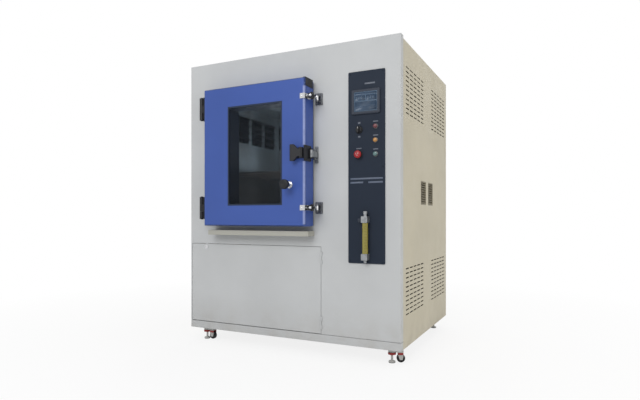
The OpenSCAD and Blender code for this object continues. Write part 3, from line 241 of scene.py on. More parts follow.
def liner_steel():
    """The chamber's steel, with the louvres in its outlets painted near-black as the shade inside the
    outlets.
    """
    wall = [at(LINER.x0 + SHEET + reach, 0, 0).x for reach in (0.3, 18)]
    rows = [at(0, 0, LINER.z1 - drop).z for drop in (240, 60)]
    f = brushed_finish("stainless_outlet_shade", (150, 160, 166), 0.4, "x", dusty=0.6)
    steel = f.bsdf.inputs["Base Color"].links[0].from_socket
    # Painted shade: near-black on the louvres inside the outlets
    outlet_shade = f.math("MULTIPLY", f.where("X", *wall), f.where("Z", *rows))
    f.tint(f.mix(outlet_shade, steel, linear(16, 18, 24)))
    return f.mat


def galvanised(name, colour, rough=0.38):
    """Zinc-coated sheet with its spangle."""
    f = Finish(name, colour, rough, 0.9)
    f.edge(0.0008)
    cells = f.add("ShaderNodeTexVoronoi", {"Vector": f.coord}, Scale=70.0)
    spangle = f.add("ShaderNodeSeparateColor", {"Color": cells.outputs["Color"]}).outputs[0]
    f.tint(f.mix(f.range(spangle, 0, 1, 0, 0.8), f.colour, scaled(f.colour, 0.7)))
    f.gloss(f.range(spangle, 0, 1, rough - 0.08, rough + 0.16))
    f.bump(f.noise(60, detail=3), strength=0.06, distance=0.0005)
    return f.mat


def plated(name, colour):
    """Bright plating with fine scratches and finger marks."""
    rough = 0.12
    f = Finish(name, colour, rough, 1.0)
    f.edge(0.0007)
    marks = f.noise(45, detail=5)
    scratch = f.noise(1, detail=3, vector=f.stretched(1400, 120, 1400))
    f.gloss(f.math("ADD", f.range(marks, 0.45, 0.75, rough, rough + 0.16),
                   f.range(scratch, 0.6, 0.8, 0, 0.08)))
    f.tint(f.mix(f.range(marks, 0.4, 0.8, 0, 0.3), f.colour, scaled(f.colour, 0.6)))
    f.bump(scratch, strength=0.05, distance=0.0001)
    return f.mat


def moulded(name, colour, rough=0.5, grain=0.2, grain_scale=1600):
    """Moulded plastic or rubber with a fine grain and slightly worn gloss."""
    f = Finish(name, colour, rough)
    f.put("Specular IOR Level", 0.3)
    f.edge(0.0008)
    worn = f.noise(30, detail=4)
    paler = tuple(min(1, c * 1.35 + 0.004) for c in f.colour[:3]) + (1,)
    f.tint(f.mix(f.range(worn, 0.5, 0.85, 0, 0.6), f.colour, paler))
    f.gloss(f.range(worn, 0.3, 0.7, rough - 0.06, rough + 0.1))
    f.bump(f.noise(grain_scale, detail=2), strength=grain, distance=0.0003)
    return f.mat


def glass_pane():
    """Grey-tinted safety glass with a thin film of dust."""
    f = Finish("window_glass", (18, 24, 31), 0.04)
    film = f.noise(7, detail=6)
    f.tint(f.mix(f.range(film, 0.42, 0.8, 0, 0.4), f.colour, linear(44, 52, 58)))
    f.gloss(f.range(film, 0.3, 0.8, 0.02, 0.1))
    f.put("Alpha", 0.26)
    f.put("Specular IOR Level", 0.2)
    f.put("IOR", 1.45)
    return f.mat


def lamp_lenses():
    """Tinted lenses: dark red above, lit yellow in the middle and pale green below, each in its bezel."""
    upper, middle, lower = (96, 22, 34), (176, 122, 50), (80, 112, 112)
    bezel_reach = 6.2
    radius = (LAMPS.x1 - LAMPS.x0) / 2
    pitch = (LAMPS.z1 - LAMPS.z0 - 2 * radius) / 2
    reach = radius / MM_PER_M * 1.5
    f = Finish("pilot_lenses", lower, 0.18)
    f.edge(0.0006)
    lens = linear(*lower)
    for i, colour in enumerate((upper, middle)):
        z = at(0, 0, LAMPS.z1 - radius - i * pitch).z
        lens = f.mix(f.where("Z", z - reach, z + reach), lens, linear(*colour))
    bezel = f.where("Y", at(0, PANEL.y0 - bezel_reach, 0).y, 1)
    f.tint(f.mix(bezel, lens, linear(70, 72, 76)))
    f.gloss(f.range(f.noise(80, detail=3), 0.3, 0.7, 0.14, 0.24))
    facets = f.add("ShaderNodeTexVoronoi", {"Vector": f.coord}, Scale=600.0)
    f.bump(facets.outputs["Distance"], strength=0.15, distance=0.0003)
    f.put("Coat Weight", 0.5)
    return f.mat


def caster_cast():
    """Cast swivel body; its thumb wheel is red and its foot has a rubber sole, told apart by height."""
    thumb_low, thumb_high = 0.0426, 0.0544
    sole = 0.0035
    f = Finish("caster_cast", (188, 189, 186), 0.4)
    f.edge(0.001)
    grit = f.noise(260, detail=3)
    body = f.mix(f.range(grit, 0.4, 0.7, 0, 0.5), f.colour, linear(150, 151, 148))
    thumb = f.where("Z", thumb_low, thumb_high)
    foot = f.where("Z", -1, sole)
    f.tint(f.mix(foot, f.mix(thumb, body, linear(150, 40, 36)), linear(34, 34, 36)))
    f.gloss(f.range(grit, 0.3, 0.7, 0.34, 0.5))
    f.bump(grit, strength=0.2, distance=0.0003)
    return f.mat


def flow_tube():
    """Yellow tinted tube with printed scale lines on the right half of its front."""
    tick_pitch, tick_share = 0.008, 0.14
    front_depth, from_middle = 6, 1
    tube = Box("flowmeter_tube")
    f = Finish("flow_tube", (150, 140, 62), 0.16)
    phase = f.math("FRACT", f.math("DIVIDE", f.axis("Z"), tick_pitch))
    line = f.math("LESS_THAN", phase, tick_share)
    front = f.math("LESS_THAN", f.axis("Y"), at(0, tube.y0 + front_depth, 0).y)
    side = f.math("GREATER_THAN", f.axis("X"), at(tube.cx + from_middle, 0, 0).x)
    ticks = f.math("MULTIPLY", f.math("MULTIPLY", line, front), side)
    base = f.mix(f.range(f.noise(20, detail=3), 0.3, 0.7, 0, 0.4), f.colour, linear(172, 162, 88))
    f.tint(f.mix(ticks, base, linear(40, 36, 20)))
    f.gloss(f.range(f.noise(60, detail=3), 0.3, 0.7, 0.1, 0.2))
    f.put("Alpha", 0.82)
    return f.mat


def screen_film():
    """Lit touch screen: a blue field that is paler towards its top."""
    f = Finish("screen_film", (70, 88, 108), 0.2)
    f.put("Specular IOR Level", 0.2)
    upward = f.range(f.axis("Z"), at(0, 0, SCREEN.z0).z, at(0, 0, SCREEN.z1).z, 0, 0.7)
    field = f.mix(upward, scaled(f.colour, 0.85), linear(84, 106, 130))
    f.tint(f.mix(f.range(f.noise(7, detail=1), 0.3, 0.7, 0, 0.25), field, linear(94, 114, 134)))
    f.gloss(f.range(f.noise(25, detail=4), 0.4, 0.7, 0.12, 0.24))
    f.bump(f.noise(300, detail=2), strength=0.02, distance=0.0002)
    return f.mat


M = {
    "fascia": powder_coat("fascia_paint", (193, 195, 196), 0.48),
    "side": powder_coat("side_paint", (199, 192, 171), 0.52, peel=0.2),
    "sill": powder_coat("sill_paint", (174, 173, 163), 0.45),
    "blue": powder_coat("door_paint", (62, 88, 160), 0.34, peel=0.1, vary=0.06, edge=0.002),
    "primer": powder_coat("frame_paint", (120, 124, 128), 0.55),
    "column": powder_coat("column_paint", (37, 45, 58), 0.5, peel=0.25, shine=0.12),
    "black": powder_coat("black_paint", (28, 29, 35), 0.38, peel=0.2, vary=0.2),
    "motor": powder_coat("motor_enamel", (92, 108, 122), 0.35, peel=0.5),
    "pump": powder_coat("pump_enamel", (58, 60, 62), 0.45, peel=0.5),
    "stainless_z": brushed("stainless_upright", (186, 188, 190), 0.32, "z"),
    "stainless_x": liner_steel(),
    "stainless_rod": brushed("stainless_rods", (160, 163, 166), 0.35, "y", dusty=0.4),
    "zinc": galvanised("zinc_sheet", (176, 179, 181)),
    "dull_zinc": galvanised("dull_zinc", (118, 120, 124), 0.42),
    "dark_zinc": galvanised("dark_zinc", (48, 50, 54), 0.6),
    "pale_zinc": galvanised("pale_zinc", (152, 155, 158), 0.5),
    "chrome": plated("bright_plating", (205, 206, 208)),
    "plastic": moulded("black_plastic", (25, 26, 30), 0.4),
    "rubber": moulded("black_rubber", (34, 35, 38), 0.7, 0.35, grain_scale=900),
    "trim": moulded("window_rubber", (34, 45, 64), 0.6, 0.3, grain_scale=900),
    "bezel": moulded("bezel_plastic", (47, 53, 65), 0.5),
    "screen": screen_film(),
    "red": moulded("signal_red", (156, 42, 46), 0.34, 0.06),
    # Dark mat colour that paints the shade inside the vent slots
    "mat": moulded("vent_shade_mat", (74, 71, 62), 0.9, 0.6, grain_scale=500),
    "grille": moulded("grille_plastic", (138, 131, 112), 0.55),
    "wheel": moulded("wheel_nylon", (30, 30, 32), 0.45),
    "glass": glass_pane(),
    "lamps": lamp_lenses(),
    "cast": caster_cast(),
    "tube": flow_tube(),
    "label": moulded("label_plate", (90, 96, 108), 0.4, 0.05),
    "strip": moulded("label_strip", (84, 94, 112), 0.4, 0.05),
    "white": moulded("white_mark", (224, 224, 222), 0.4, 0.05),
    # Pale blue that paints the highlight on the door's rounded front edge
    "painted_edge_highlight": moulded("edge_highlight_finish", (132, 144, 190), 0.3, 0.03),
    "ui_dark": moulded("screen_dark", (62, 80, 102), 0.2, 0.01),
    "ui_light": moulded("screen_light", (98, 116, 138), 0.2, 0.01),
}

FINISH = {
    "fascia": ["base_frame", "front_fascia", "top_cover", "service_panel"],
    "side": ["left_side_panel", "right_side_panel", "rear_panel"],
    "sill": ["door_sill"],
    "blue": ["door_shell"],
    "primer": ["inner_frame"],
    "column": ["control_panel"],
    "black": ["hinge_fixed_leaves", "hinge_moving_leaves", "latch_case"],
    "motor": ["blower_motor"],
    "pump": ["vacuum_pump"],
    "stainless_z": ["hopper", "door_inner_pan", "wiper_arm"],
    "stainless_x": ["chamber_liner"],
    "stainless_rod": ["specimen_shelf"],
    "zinc": ["suction_pipe", "blower_housing", "caster_plates", "blower_impeller"],
    "dark_zinc": ["supply_duct"],
    "dull_zinc": ["clamp_brackets"],
    "pale_zinc": ["latch_keeper", "latch_hook", "flowmeter_body"],
    "chrome": ["clamp_lugs", "wiper_bush", "clamp_bolt_upper", "clamp_bolt_lower", "service_lock"],
    "plastic": ["wiper_knob", "latch_lever", "clamp_knob_upper", "clamp_knob_lower", "selector_knob",
                "switch_collars"],
    "rubber": ["door_gasket"],
    "trim": ["window_trim"],
    "bezel": ["screen_bezel", "flow_valve_knob"],
    "screen": ["screen_glass"],
    "red": ["estop_button", "flow_float"],
    "grille": ["side_grilles"],
    "glass": ["window_panes"],
    "lamps": ["pilot_lamps"],
    "tube": ["flowmeter_tube"],
    "cast": [f"caster_swivel_{i}" for i in range(1, 5)],
    "wheel": [f"caster_wheel_{i}" for i in range(1, 5)],
}
for finish, names in FINISH.items():
    for name in names:
        nodes[name].data.materials.clear()
        nodes[name].data.materials.append(M[finish])


def piece(name, bm, material, body, bevel=0.0):
    """Turns a bmesh in the row frame into a piece that rides on a body."""
    sharp_from = 0.7
    mesh = bpy.data.meshes.new(name)
    bmesh.ops.recalc_face_normals(bm, faces=bm.faces)
    bm.to_mesh(mesh)
    bm.free()
    mesh.materials.append(M[material])
    for p in mesh.polygons:
        p.use_smooth = True
    mesh.set_sharp_from_angle(angle=sharp_from)
    o = bpy.data.objects.new(name, mesh)
    bpy.context.scene.collection.objects.link(o)
    if bevel:
        m = o.modifiers.new("bevel", "BEVEL")
        m.width = bevel
        m.segments = 3
        m.limit_method = "ANGLE"
    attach(o, body)


def strip_faces(bm, lower, upper):
    """Closes the strip between two loops of as many corners."""
    for i in range(len(lower)):
        j = (i + 1) % len(lower)
        bm.faces.new((lower[i], lower[j], upper[j], upper[i]))


def lathe(bm, place, direction, profile, segments=32, socket=0.0):
    """Turns a profile of (radius, height) pairs about a direction. Rings inside socket become hexagons."""
    half_sector = math.pi / 6
    rings = []
    facing = Vector(UP).rotation_difference(Vector(direction)).to_matrix().to_4x4()
    turn = Matrix.Translation(place) @ facing
    for r, h in profile:
        ring = []
        for i in range(segments):
            a = 2 * math.pi * i / segments
            radius = r
            if r <= socket:
                sector = (a + half_sector) % (2 * half_sector) - half_sector
                radius = r * math.cos(half_sector) / math.cos(sector)
            ring.append(bm.verts.new(turn @ Vector((radius * math.cos(a), radius * math.sin(a), h))))
        rings.append(ring)
    for lower, upper in zip(rings, rings[1:]):
        strip_faces(bm, lower, upper)
    bm.faces.new(rings[0])
    bm.faces.new(list(reversed(rings[-1])))


# Button-head screw with a hexagon socket, on a thin washer, as shares of the head's radius and height
BUTTON = [(1.35, 0), (1.35, 0.22), (1.25, 0.3), (1, 0.3), (0.97, 0.55), (0.82, 0.82), (0.62, 0.96), (0.5, 1),
          (0.46, 0.97), (0.44, 0.5)]
SOCKET_SHARE = 0.5


def fasteners(name, places, direction, r, h, material, body):
    """Screws of one size that face one way; r and h are the head's radius and height in millimetres."""
    r, h = r / MM_PER_M, h / MM_PER_M
    bm = bmesh.new()
    for p in places:
        lathe(bm, at(*p), direction, [(r * a, h * b) for a, b in BUTTON], socket=r * SOCKET_SHARE)
    piece(name, bm, material, body)


def plate(bm, x0, x1, z0, z1, y, t, corner=1.5):
    """Thin plate in the plane of the fascia with rounded corners, its back at y, in cabinet millimetres."""
    steps = 4
    inset = min(0.4, t * 0.4)
    points = []
    for cx, cz, start in ((x1 - corner, z1 - corner, 0), (x0 + corner, z1 - corner, 90),
                          (x0 + corner, z0 + corner, 180), (x1 - corner, z0 + corner, 270)):
        for k in range(steps + 1):
            a = math.radians(start + 90 * k / steps)
            points.append((cx + corner * math.cos(a), cz + corner * math.sin(a)))
    mx, mz = (x0 + x1) / 2, (z0 + z1) / 2
    loops = []
    for depth, shrink in ((0, 0), (t - inset, 0), (t, inset)):
        sx = 1 - shrink / ((x1 - x0) / 2)
        sz = 1 - shrink / ((z1 - z0) / 2)
        loops.append([bm.verts.new(at(mx + (px - mx) * sx, y - depth, mz + (pz - mz) * sz))
                      for px, pz in points])
    for lower, upper in zip(loops, loops[1:]):
        strip_faces(bm, lower, upper)
    bm.faces.new(loops[0])
    bm.faces.new(list(reversed(loops[-1])))


def block(bm, x0, x1, y0, y1, z0, z1):
    """Box between two corners in cabinet millimetres."""
    corners = [bm.verts.new(at(x, y, z)) for z in (z0, z1) for y in (y0, y1) for x in (x0, x1)]
    for face in ((0, 1, 3, 2), (4, 6, 7, 5), (0, 4, 5, 1), (2, 3, 7, 6), (0, 2, 6, 4), (1, 5, 7, 3)):
        bm.faces.new([corners[i] for i in face])


def prism(bm, low, high):
    """Solid between an outline and its copy, both as rows of places in the row frame."""
    low = [bm.verts.new(p) for p in low]
    high = [bm.verts.new(p) for p in high]
    strip_faces(bm, low, high)
    bm.faces.new(list(reversed(low)))
    bm.faces.new(high)


def arc(radius, start, stop, step):
    """Points of an arc about the origin, with both ends, in degrees."""
    angles = [math.radians(a) for a in range(start, stop + 1, step)]
    return [(radius * math.cos(a), radius * math.sin(a)) for a in angles]


def spread(low, high, count):
    """Evenly spaced values with both ends."""
    return [low + (high - low) * i / (count - 1) for i in range(count)]


def rim(xs, zs):
    """Places around the rim of a grid of columns and rows."""
    return [(x, z) for x in xs for z in (zs[0], zs[-1])] + [(x, z) for x in (xs[0], xs[-1]) for z in zs[1:-1]]


def hinge_screws():
    """Screws in the holes of the hinges' feet, and on the plates at the door's side."""
    pin_cap, half = 3, 65
    foot_t, foot_x, foot_dz = 6, 12, 49
    leaf_t, leaf_ys, leaf_dz = 6, (18, 60), 48
    feet = Box("hinge_fixed_leaves")
    zs = [feet.z1 - half - pin_cap, feet.z0 + half + pin_cap]
    on_feet = [(feet.x0 + foot_x, -foot_t, z + dz) for z in zs for dz in (-foot_dz, foot_dz)]
    on_leaves = [(DOOR.x0 - leaf_t, DOOR.y0 + y, z + dz) for z in zs for y in leaf_ys
                 for dz in (-leaf_dz, leaf_dz)]
    fasteners("hinge_foot_screws", on_feet, FRONT, 5, 4, "chrome", "cabinet")
    fasteners("hinge_leaf_screws", on_leaves, LEFT, 4.5, 3.5, "chrome", "door")


def clamp_fittings():
    """Screws of the clamps' brackets, straps and lugs, and the dome nut on each hand knob."""
    bracket_t, bracket_dx, bracket_dz = 5, 14, 24
    strap_t, strap_in = 4, 17
    lug_t, lug_y = 4, 12
    cap_depth = 8
    dome = [(0.0085, -0.002), (0.0085, 0.001), (0.0078, 0.002), (0.0074, 0.0045), (0.006, 0.0075),
            (0.0035, 0.0092), (0.001, 0.0098)]
    on_brackets = [(CLAMPS.cx + dx, -bracket_t, z + dz) for z in CLAMP_ZS for dx in (-bracket_dx, bracket_dx)
                   for dz in (-bracket_dz, bracket_dz)]
    on_straps = [(DOOR.x1 - strap_in, DOOR.y0 - strap_t, z) for z in CLAMP_ZS]
    on_lugs = [(DOOR.x1 + lug_t, DOOR.y0 + lug_y, z) for z in CLAMP_ZS]
    fasteners("clamp_bracket_screws", on_brackets, FRONT, 4, 3.5, "dull_zinc", "cabinet")
    fasteners("clamp_strap_screws", on_straps, FRONT, 3.5, 3, "chrome", "door")
    fasteners("clamp_lug_screws", on_lugs, RIGHT, 3.5, 3, "chrome", "door")
    for which in ("upper", "lower"):
        knob = Box(f"clamp_knob_{which}")
        bolt = Box(f"clamp_bolt_{which}")
        bm = bmesh.new()
        lathe(bm, at(knob.cx, bolt.y0 + cap_depth, knob.cz), FRONT, dome, segments=24)
        piece(f"clamp_cap_{which}", bm, "chrome", f"clamp_knob_{which}")


def latch_screws():
    """Screws in the side of the latch's case and in the keeper."""
    case_t, case_ys, case_dz = 7, (5, 60), 34
    keeper_t, keeper_dz = 4, 38
    keeper = Box("latch_keeper")
    on_case = [(DOOR.x1 + case_t, DOOR.y0 + y, LATCH.cz + dz) for y in case_ys for dz in (-case_dz, case_dz)]
    on_keeper = [(keeper.cx, -keeper_t, LATCH.cz + dz) for dz in (-keeper_dz, keeper_dz)]
    fasteners("latch_side_screws", on_case, RIGHT, 3.2, 2.5, "plastic", "door")
    fasteners("keeper_screws", on_keeper, FRONT, 3.2, 2.5, "pale_zinc", "cabinet")


def door_edge():
    """Pale blue profile along the door's front right edge, a painted highlight of the light on the rounded
    edge, and the dark cap at its upper end.
    """
    corner, thick, sunk, least = 10, 1.2, 1, 0.1
    foot_gap, clamp_gap, latch_gap, head_gap = 12, 15, 1, 46
    cx, cy = DOOR.x1 - corner, DOOR.y0 + corner
    angles = [math.radians(a) for a in range(-90, 1, 10)]
    outside = [corner + least + thick * math.sin(math.pi * i / (len(angles) - 1)) ** 0.5
               for i in range(len(angles))]
    outline = [(cx + r * math.cos(a), cy + r * math.sin(a)) for a, r in zip(angles, outside)]
    outline += [(cx + x, cy + y) for x, y in reversed(arc(corner - sunk, -90, 0, 10))]
    upper, lower = CLAMP_ZS
    runs = ((DOOR.z0 + foot_gap, lower - clamp_gap), (lower + clamp_gap, LATCH.z0 - latch_gap),
            (LATCH.z1 + latch_gap, upper - clamp_gap), (upper + clamp_gap, DOOR.z1 - head_gap))
    bm = bmesh.new()
    for z0, z1 in runs:
        prism(bm, [at(x, y, z0) for x, y in outline], [at(x, y, z1) for x, y in outline])
    # The profile's pale blue paints the highlight along the rounded edge
    piece("door_edge_highlight_strip", bm, "painted_edge_highlight", "door")
    cap_t, cap_h, cap_w, overlap, lift = 2.5, 44, 14, 2, 0.1
    front, back = DOOR.y0 + 8, -22
    bm = bmesh.new()
    block(bm, DOOR.x1, DOOR.x1 + cap_t, front, back, DOOR.z1 - cap_h, DOOR.z1 + overlap)
    block(bm, DOOR.x1 - cap_w, DOOR.x1 + cap_t, front, back, DOOR.z1 + lift, DOOR.z1 + cap_t)
    piece("door_corner_cap", bm, "plastic", "door", bevel=0.0008)


def pan_screws():
    """Screws around the inner pan, seen when the door is open."""
    inset, face = 34, -12
    places = rim(spread(DOOR.x0 + inset, DOOR.x1 - inset, 5), spread(DOOR.z0 + inset, DOOR.z1 - inset, 6))
    fasteners("door_pan_screws", [(x, face, z) for x, z in places], REAR, 3, 2.2, "stainless_z", "door")


def column_screws():
    """Screws down both edges of the control column."""
    inset = 11
    places = [(x, PANEL.y0, z) for x in (PANEL.x0 + inset, PANEL.x1 - inset)
              for z in (PANEL.z0 + inset, PANEL.cz, PANEL.z1 - inset)]
    fasteners("column_screws", places, FRONT, 3, 2, "column", "cabinet")


def column_labels():
    """Bare plates where the column has its title and the names of its devices."""
    thick, corner = 0.8, 1
    title_left, title_right, title_drop, title_h = 10, 48, 72, 9
    lamp_half, lamp_gap, lamp_h = 14, 8, 6
    selector_half, selector_above, selector_below, selector_h = 7, 16, 26, 10
    estop_half, estop_gap, estop_h = 15, 9, 6
    selector = Box("selector_knob")
    estop = Box("estop_button")
    lamp_r = (LAMPS.x1 - LAMPS.x0) / 2
    bm = bmesh.new()
    title_z = PANEL.z1 - title_drop
    plate(bm, PANEL.cx - title_left, PANEL.cx + title_right, title_z, title_z + title_h, PANEL.y0, thick)
    for top in (LAMPS.z1, LAMPS.cz + lamp_r, LAMPS.z0 + 2 * lamp_r):
        z = top + lamp_gap
        plate(bm, LAMPS.cx - lamp_half, LAMPS.cx + lamp_half, z, z + lamp_h, PANEL.y0, thick, corner)
    x0, x1 = selector.cx - selector_half, selector.cx + selector_half
    for z in (selector.z1 + selector_above, selector.z0 - selector_below):
        plate(bm, x0, x1, z, z + selector_h, PANEL.y0, thick, corner)
    z = estop.z1 + estop_gap
    plate(bm, estop.cx - estop_half, estop.cx + estop_half, z, z + estop_h, PANEL.y0, thick, corner)
    piece("column_labels", bm, "label", "cabinet")


def column_strip():
    """Blank strips in two rows above the flow meter."""
    thick, side, height = 0.6, 12, 9
    upper = PANEL.z0 + 440
    lower = upper - 20
    left_end, right_start = PANEL.x0 + 84, PANEL.x1 - 92
    bm = bmesh.new()
    for x0, x1, z in ((PANEL.x0 + side, PANEL.x1 - side, upper), (PANEL.x0 + side, left_end, lower),
                      (right_start, PANEL.x1 - side, lower)):
        plate(bm, x0, x1, z, z + height, PANEL.y0, thick)
    piece("column_strip", bm, "strip", "cabinet")


def knob_marks():
    """Pointer line on the selector, arrows on the emergency button, and a disc in the wiper's knob."""
    selector = Box("selector_knob")
    estop = Box("estop_button")
    wiper = Box("wiper_knob")
    half, from_rim, length, thick, corner = 0.8, 2, 9, 0.3, 0.4
    tip = selector.z1 - from_rim
    bm = bmesh.new()
    plate(bm, selector.cx - half, selector.cx + half, tip - length, tip, selector.y0, thick, corner)
    piece("selector_pointer", bm, "white", "selector_knob")
    inner, outer, sweep, step = 5.8, 7.2, 72, 12
    sunk, proud = 0.5, 0.1
    bm = bmesh.new()
    for start in (0, 120, 240):
        ring = arc(outer, start, start + sweep, step) + arc(inner, start, start + sweep, step)[::-1]
        prism(bm, [at(estop.cx + x, estop.y0 + sunk, estop.cz + z) for x, z in ring],
              [at(estop.cx + x, estop.y0 - proud, estop.cz + z) for x, z in ring])
    piece("estop_arrows", bm, "white", "estop_button")
    disc = [(0.013, -0.001), (0.013, 0.0009), (0.0122, 0.0013), (0.009, 0.0013), (0.0085, 0.0009),
            (0.001, 0.0009)]
    bm = bmesh.new()
    lathe(bm, at(wiper.cx, wiper.y0 + sunk, wiper.cz), FRONT, disc)
    piece("wiper_knob_disc", bm, "plastic", "wiper")


def on_screen(bm, u0, u1, v0, v1, lift, t, corner=0.8):
    """Field on the touch screen between shares of its width and height."""
    x0, x1 = (SCREEN.x0 + (SCREEN.x1 - SCREEN.x0) * u for u in (u0, u1))
    z0, z1 = (SCREEN.z0 + (SCREEN.z1 - SCREEN.z0) * v for v in (v0, v1))
    plate(bm, x0, x1, z0, z1, SCREEN.y0 - lift, t, corner)


def screen_layout():
    """What the touch screen shows: a header, two read-out fields and a trend line."""
    field_t, mark_t = 0.15, 0.1
    header = (0.03, 0.97, 0.87, 0.96)
    read_outs = ((0.03, 0.48, 0.56, 0.83), (0.52, 0.97, 0.56, 0.83))
    trend = (0.03, 0.97, 0.06, 0.5)
    bm = bmesh.new()
    for field in (header, *read_outs, trend):
        on_screen(bm, *field, 0, field_t)
    piece("screen_fields", bm, "ui_dark", "cabinet")
    dashes, dash_pitch, dash_w, dash_h, settling = 12, 0.07, 0.06, 0.016, 3
    line_low, line_rise = 0.14, 0.16
    digits, digit_pitch, digit_w, digit_low, digit_top = 3, 0.1, 0.07, 0.63, 0.76
    bm = bmesh.new()
    for k in range(dashes):
        u = dash_pitch * (k + 1)
        v = line_low + line_rise * (1 - math.exp(-k / settling))
        on_screen(bm, u, u + dash_w, v, v + dash_h, field_t, mark_t, 0.3)
    for start in (0.08, 0.58):
        for k in range(digits):
            u = start + digit_pitch * k
            on_screen(bm, u, u + digit_w, digit_low, digit_top, field_t, mark_t, 0.7)
    piece("screen_marks", bm, "ui_light", "cabinet")


# Fields of vent slots, as they are cut in the panels
SLOT_W, SLOT_H = 58, 7
SLOT_PITCH = (75, 24)
SLOT_COUNT = (5, 11)
FIELD_W = SLOT_PITCH[0] * (SLOT_COUNT[0] - 1) + SLOT_W
FIELD_H = SLOT_PITCH[1] * (SLOT_COUNT[1] - 1) + SLOT_H
FIELD_ZS = (168, 1225)
SIDE_YS = (87, 637)
REAR_XS = (87, 905)


def on_side(x, out):
    """Places on a side panel's plane: run along y, height, and distance out of it."""
    return lambda u, z, w: at(x + out * w, u, z)


def on_rear(u, z, w):
    return at(u, REAR_Y + w, z)


def vent_shade_mat(bm, place, u0, z0):
    """Pleated dark mat behind a vent field, which blocks the view through; its dark colour paints the shade
    inside the slots.
    """
    margin, pleat, depth, back, thick = 12, 9, 5, 3, 2
    ends = (u0 - margin, u0 + FIELD_W + margin)
    steps = int((FIELD_H + 2 * margin) / pleat)
    front = []
    rear = []
    for i in range(steps + 1):
        z = z0 - margin + pleat * i
        w = -back - (depth if i % 2 else 0)
        front.append([bm.verts.new(place(u, z, w)) for u in ends])
        rear.append([bm.verts.new(place(u, z, w - thick)) for u in ends])
    for i in range(steps):
        bm.faces.new((front[i][0], front[i][1], front[i + 1][1], front[i + 1][0]))
        bm.faces.new((rear[i][0], rear[i + 1][0], rear[i + 1][1], rear[i][1]))
        for k in (0, 1):
            bm.faces.new((front[i][k], front[i + 1][k], rear[i + 1][k], rear[i][k]))
    for i in (0, steps):
        bm.faces.new((front[i][0], rear[i][0], rear[i][1], front[i][1]))


def vent_shade_mats():
    """One piece of dark mats for each panel with vents; they paint the shade inside the slots."""
    right = on_side(Box("right_side_panel").x1, 1)
    left = on_side(Box("left_side_panel").x0, -1)
    panels = (("right", right, SIDE_YS), ("left", left, SIDE_YS), ("rear", on_rear, REAR_XS))
    for label, place, starts in panels:
        bm = bmesh.new()
        for u0 in starts:
            for z0 in FIELD_ZS:
                vent_shade_mat(bm, place, u0, z0)
        piece(f"vent_shade_mats_{label}", bm, "mat", "cabinet")


def rear_fittings():
    """Screws around the rear panel, and an earth stud with its nut."""
    inset = 14
    body = Box("rear_panel")
    places = rim(spread(body.x0 + inset, body.x1 - inset, 6), spread(body.z0 + inset, body.z1 - inset, 7))
    fasteners("rear_panel_screws", [(x, REAR_Y, z) for x, z in places], REAR, 4, 3, "stainless_z", "cabinet")
    stud = at(1200, REAR_Y, 60)
    shank = [(0.009, 0), (0.009, 0.0012), (0.0032, 0.0013), (0.003, 0.016), (0.0022, 0.017)]
    nut = [(0.0064, 0.0014), (0.0064, 0.006), (0.0056, 0.0066)]
    bm = bmesh.new()
    lathe(bm, stud, REAR, shank)
    lathe(bm, stud, REAR, nut, segments=6)
    piece("earth_stud", bm, "chrome", "cabinet")


def top_cover_screws():
    """Screws along the two sides of the top cover."""
    side, front, rear = 12, 60, 14
    top = Box("top_cover")
    places = [(x, y, top.z1) for x in (top.x0 + side, top.x1 - side)
              for y in spread(top.y0 + front, top.y1 - rear, 4)]
    fasteners("top_cover_screws", places, UP, 4, 3, "stainless_z", "cabinet")


def caster_bolts():
    """Four bolts from below in each caster's plate."""
    half, from_edge = 42, 9
    reach = half - from_edge
    plates = Box("caster_plates")
    corners = [(x + sx * reach, y + sy * reach) for x in (plates.x0 + half, plates.x1 - half)
               for y in (plates.y0 + half, plates.y1 - half) for sx in (-1, 1) for sy in (-1, 1)]
    fasteners("caster_bolts", [(x, y, plates.z0) for x, y in corners], DOWN, 5, 4, "zinc", "cabinet")


hinge_screws()
clamp_fittings()
latch_screws()
door_edge()
pan_screws()
column_screws()
column_labels()
column_strip()
knob_marks()
screen_layout()
vent_shade_mats()
rear_fittings()
top_cover_screws()
caster_bolts()


def white_seen(tree):
    """1 for rays that show the background itself, in the camera, in gloss and through glass."""
    path = tree.nodes.new("ShaderNodeLightPath")
    seen = path.outputs["Is Camera Ray"]
    for kind in ("Is Glossy Ray", "Is Transmission Ray"):
        both = tree.nodes.new("ShaderNodeMath")
        both.operation = "MAXIMUM"
        tree.links.new(seen, both.inputs[0])
        tree.links.new(path.outputs[kind], both.inputs[1])
        seen = both.outputs[0]
    return seen


def floor_paper():
    """Pale paper that keeps the shadow near the object and runs out into the white background."""
    near, far = 1.1, 3.2
    near_share = 0.84
    f = Finish("floor_paper", (236, 236, 236), 0.85)
    glow = f.add("ShaderNodeEmission", Color=(1, 1, 1, 1))
    distance = f.add("ShaderNodeVectorMath", {0: f.coord}, operation="LENGTH").outputs["Value"]
    share = f.range(distance, near, far, near_share, 1)
    mixed = f.add("ShaderNodeMixShader", {0: f.math("MULTIPLY", share, white_seen(f.tree)),
                                          1: f.bsdf.outputs[0], 2: glow.outputs[0]})
    f.tree.links.new(mixed.outputs[0], f.tree.nodes["Material Output"].inputs["Surface"])
    return f.mat


def studio_floor():
    """Flat floor that is far larger than the picture."""
    half_size = 30
    bm = bmesh.new()
    bmesh.ops.create_grid(bm, x_segments=1, y_segments=1, size=half_size)
    mesh = bpy.data.meshes.new("floor")
    bm.to_mesh(mesh)
    bm.free()
    floor = bpy.data.objects.new("floor", mesh)
    bpy.context.scene.collection.objects.link(floor)
    mesh.materials.append(floor_paper())


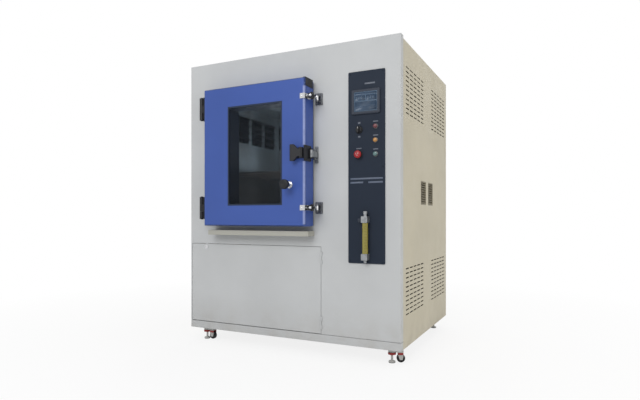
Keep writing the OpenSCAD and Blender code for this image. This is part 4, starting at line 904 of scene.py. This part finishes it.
def studio_world():
    """White background that lights the object at half of what it shows."""
    light_share = 0.5
    world = bpy.data.worlds.new("studio")
    bpy.context.scene.world = world
    world.use_nodes = True
    tree = world.node_tree
    back = tree.nodes["Background"]
    back.inputs["Color"].default_value = (1, 1, 1, 1)
    strength = tree.nodes.new("ShaderNodeMapRange")
    strength.inputs["To Min"].default_value = light_share
    strength.inputs["To Max"].default_value = 1.0
    tree.links.new(white_seen(tree), strength.inputs["Value"])
    tree.links.new(strength.outputs["Result"], back.inputs["Strength"])


def soft_light(name, place, target, size, power, colour=(1, 1, 1)):
    """Square lamp that faces a target and isn't seen itself."""
    lamp = bpy.data.lights.new(name, "AREA")
    lamp.shape = "SQUARE"
    lamp.size = size
    lamp.energy = power
    lamp.color = colour
    o = bpy.data.objects.new(name, lamp)
    o.location = place
    o.rotation_euler = (Vector(target) - Vector(place)).to_track_quat("-Z", "Y").to_euler()
    o.visible_camera = False
    bpy.context.scene.collection.objects.link(o)


def studio_lamps():
    """Lamps around the cabinet, and two small ones that stand for the chamber's light and its bounce."""
    middle = (0, 0, 0.9)
    ceiling = at(LINER.cx, LINER.cy, LINER.z1)
    over_shelf = at(LINER.cx, LINER.cy, Box("specimen_shelf").z1 + 12)
    over_floor = at(LINER.cx, LINER.cy, LINER.z0 + 40)
    soft_light("key", (0.2, -4.7, 3.4), middle, size=2.6, power=104)
    soft_light("fill", (4.4, -0.6, 1.9), middle, size=2.4, power=30, colour=(1, 0.97, 0.92))
    soft_light("hopper_glow", over_floor, ceiling, size=0.4, power=0.8, colour=(1, 0.86, 0.76))
    soft_light("rear", (-1.2, 4.8, 2.6), middle, size=2.4, power=45)
    soft_light("top", (0.4, 0.6, 4.2), (0, 0, 1.0), size=3.0, power=40)
    soft_light("chamber_glow", over_shelf, ceiling, size=0.5, power=6, colour=(0.84, 0.93, 1))


def studio_camera():
    """Camera that was fitted to the photograph's vanishing points."""
    place = at(2099.2, -2464.0, 683.2)
    yaw = math.radians(26.07)
    focal_px, shift_px, image_px, sensor = 502.5, 16.9, 640, 36
    data = bpy.data.cameras.new("camera")
    camera = bpy.data.objects.new("camera", data)
    camera.location = place
    camera.rotation_euler = (math.radians(90), 0, yaw)
    data.sensor_width = sensor
    data.lens = sensor * focal_px / image_px
    data.shift_y = shift_px / image_px
    bpy.context.scene.collection.objects.link(camera)
    bpy.context.scene.camera = camera


studio_floor()
studio_world()
studio_lamps()
studio_camera()
bpy.context.scene.view_settings.view_transform = "Standard"
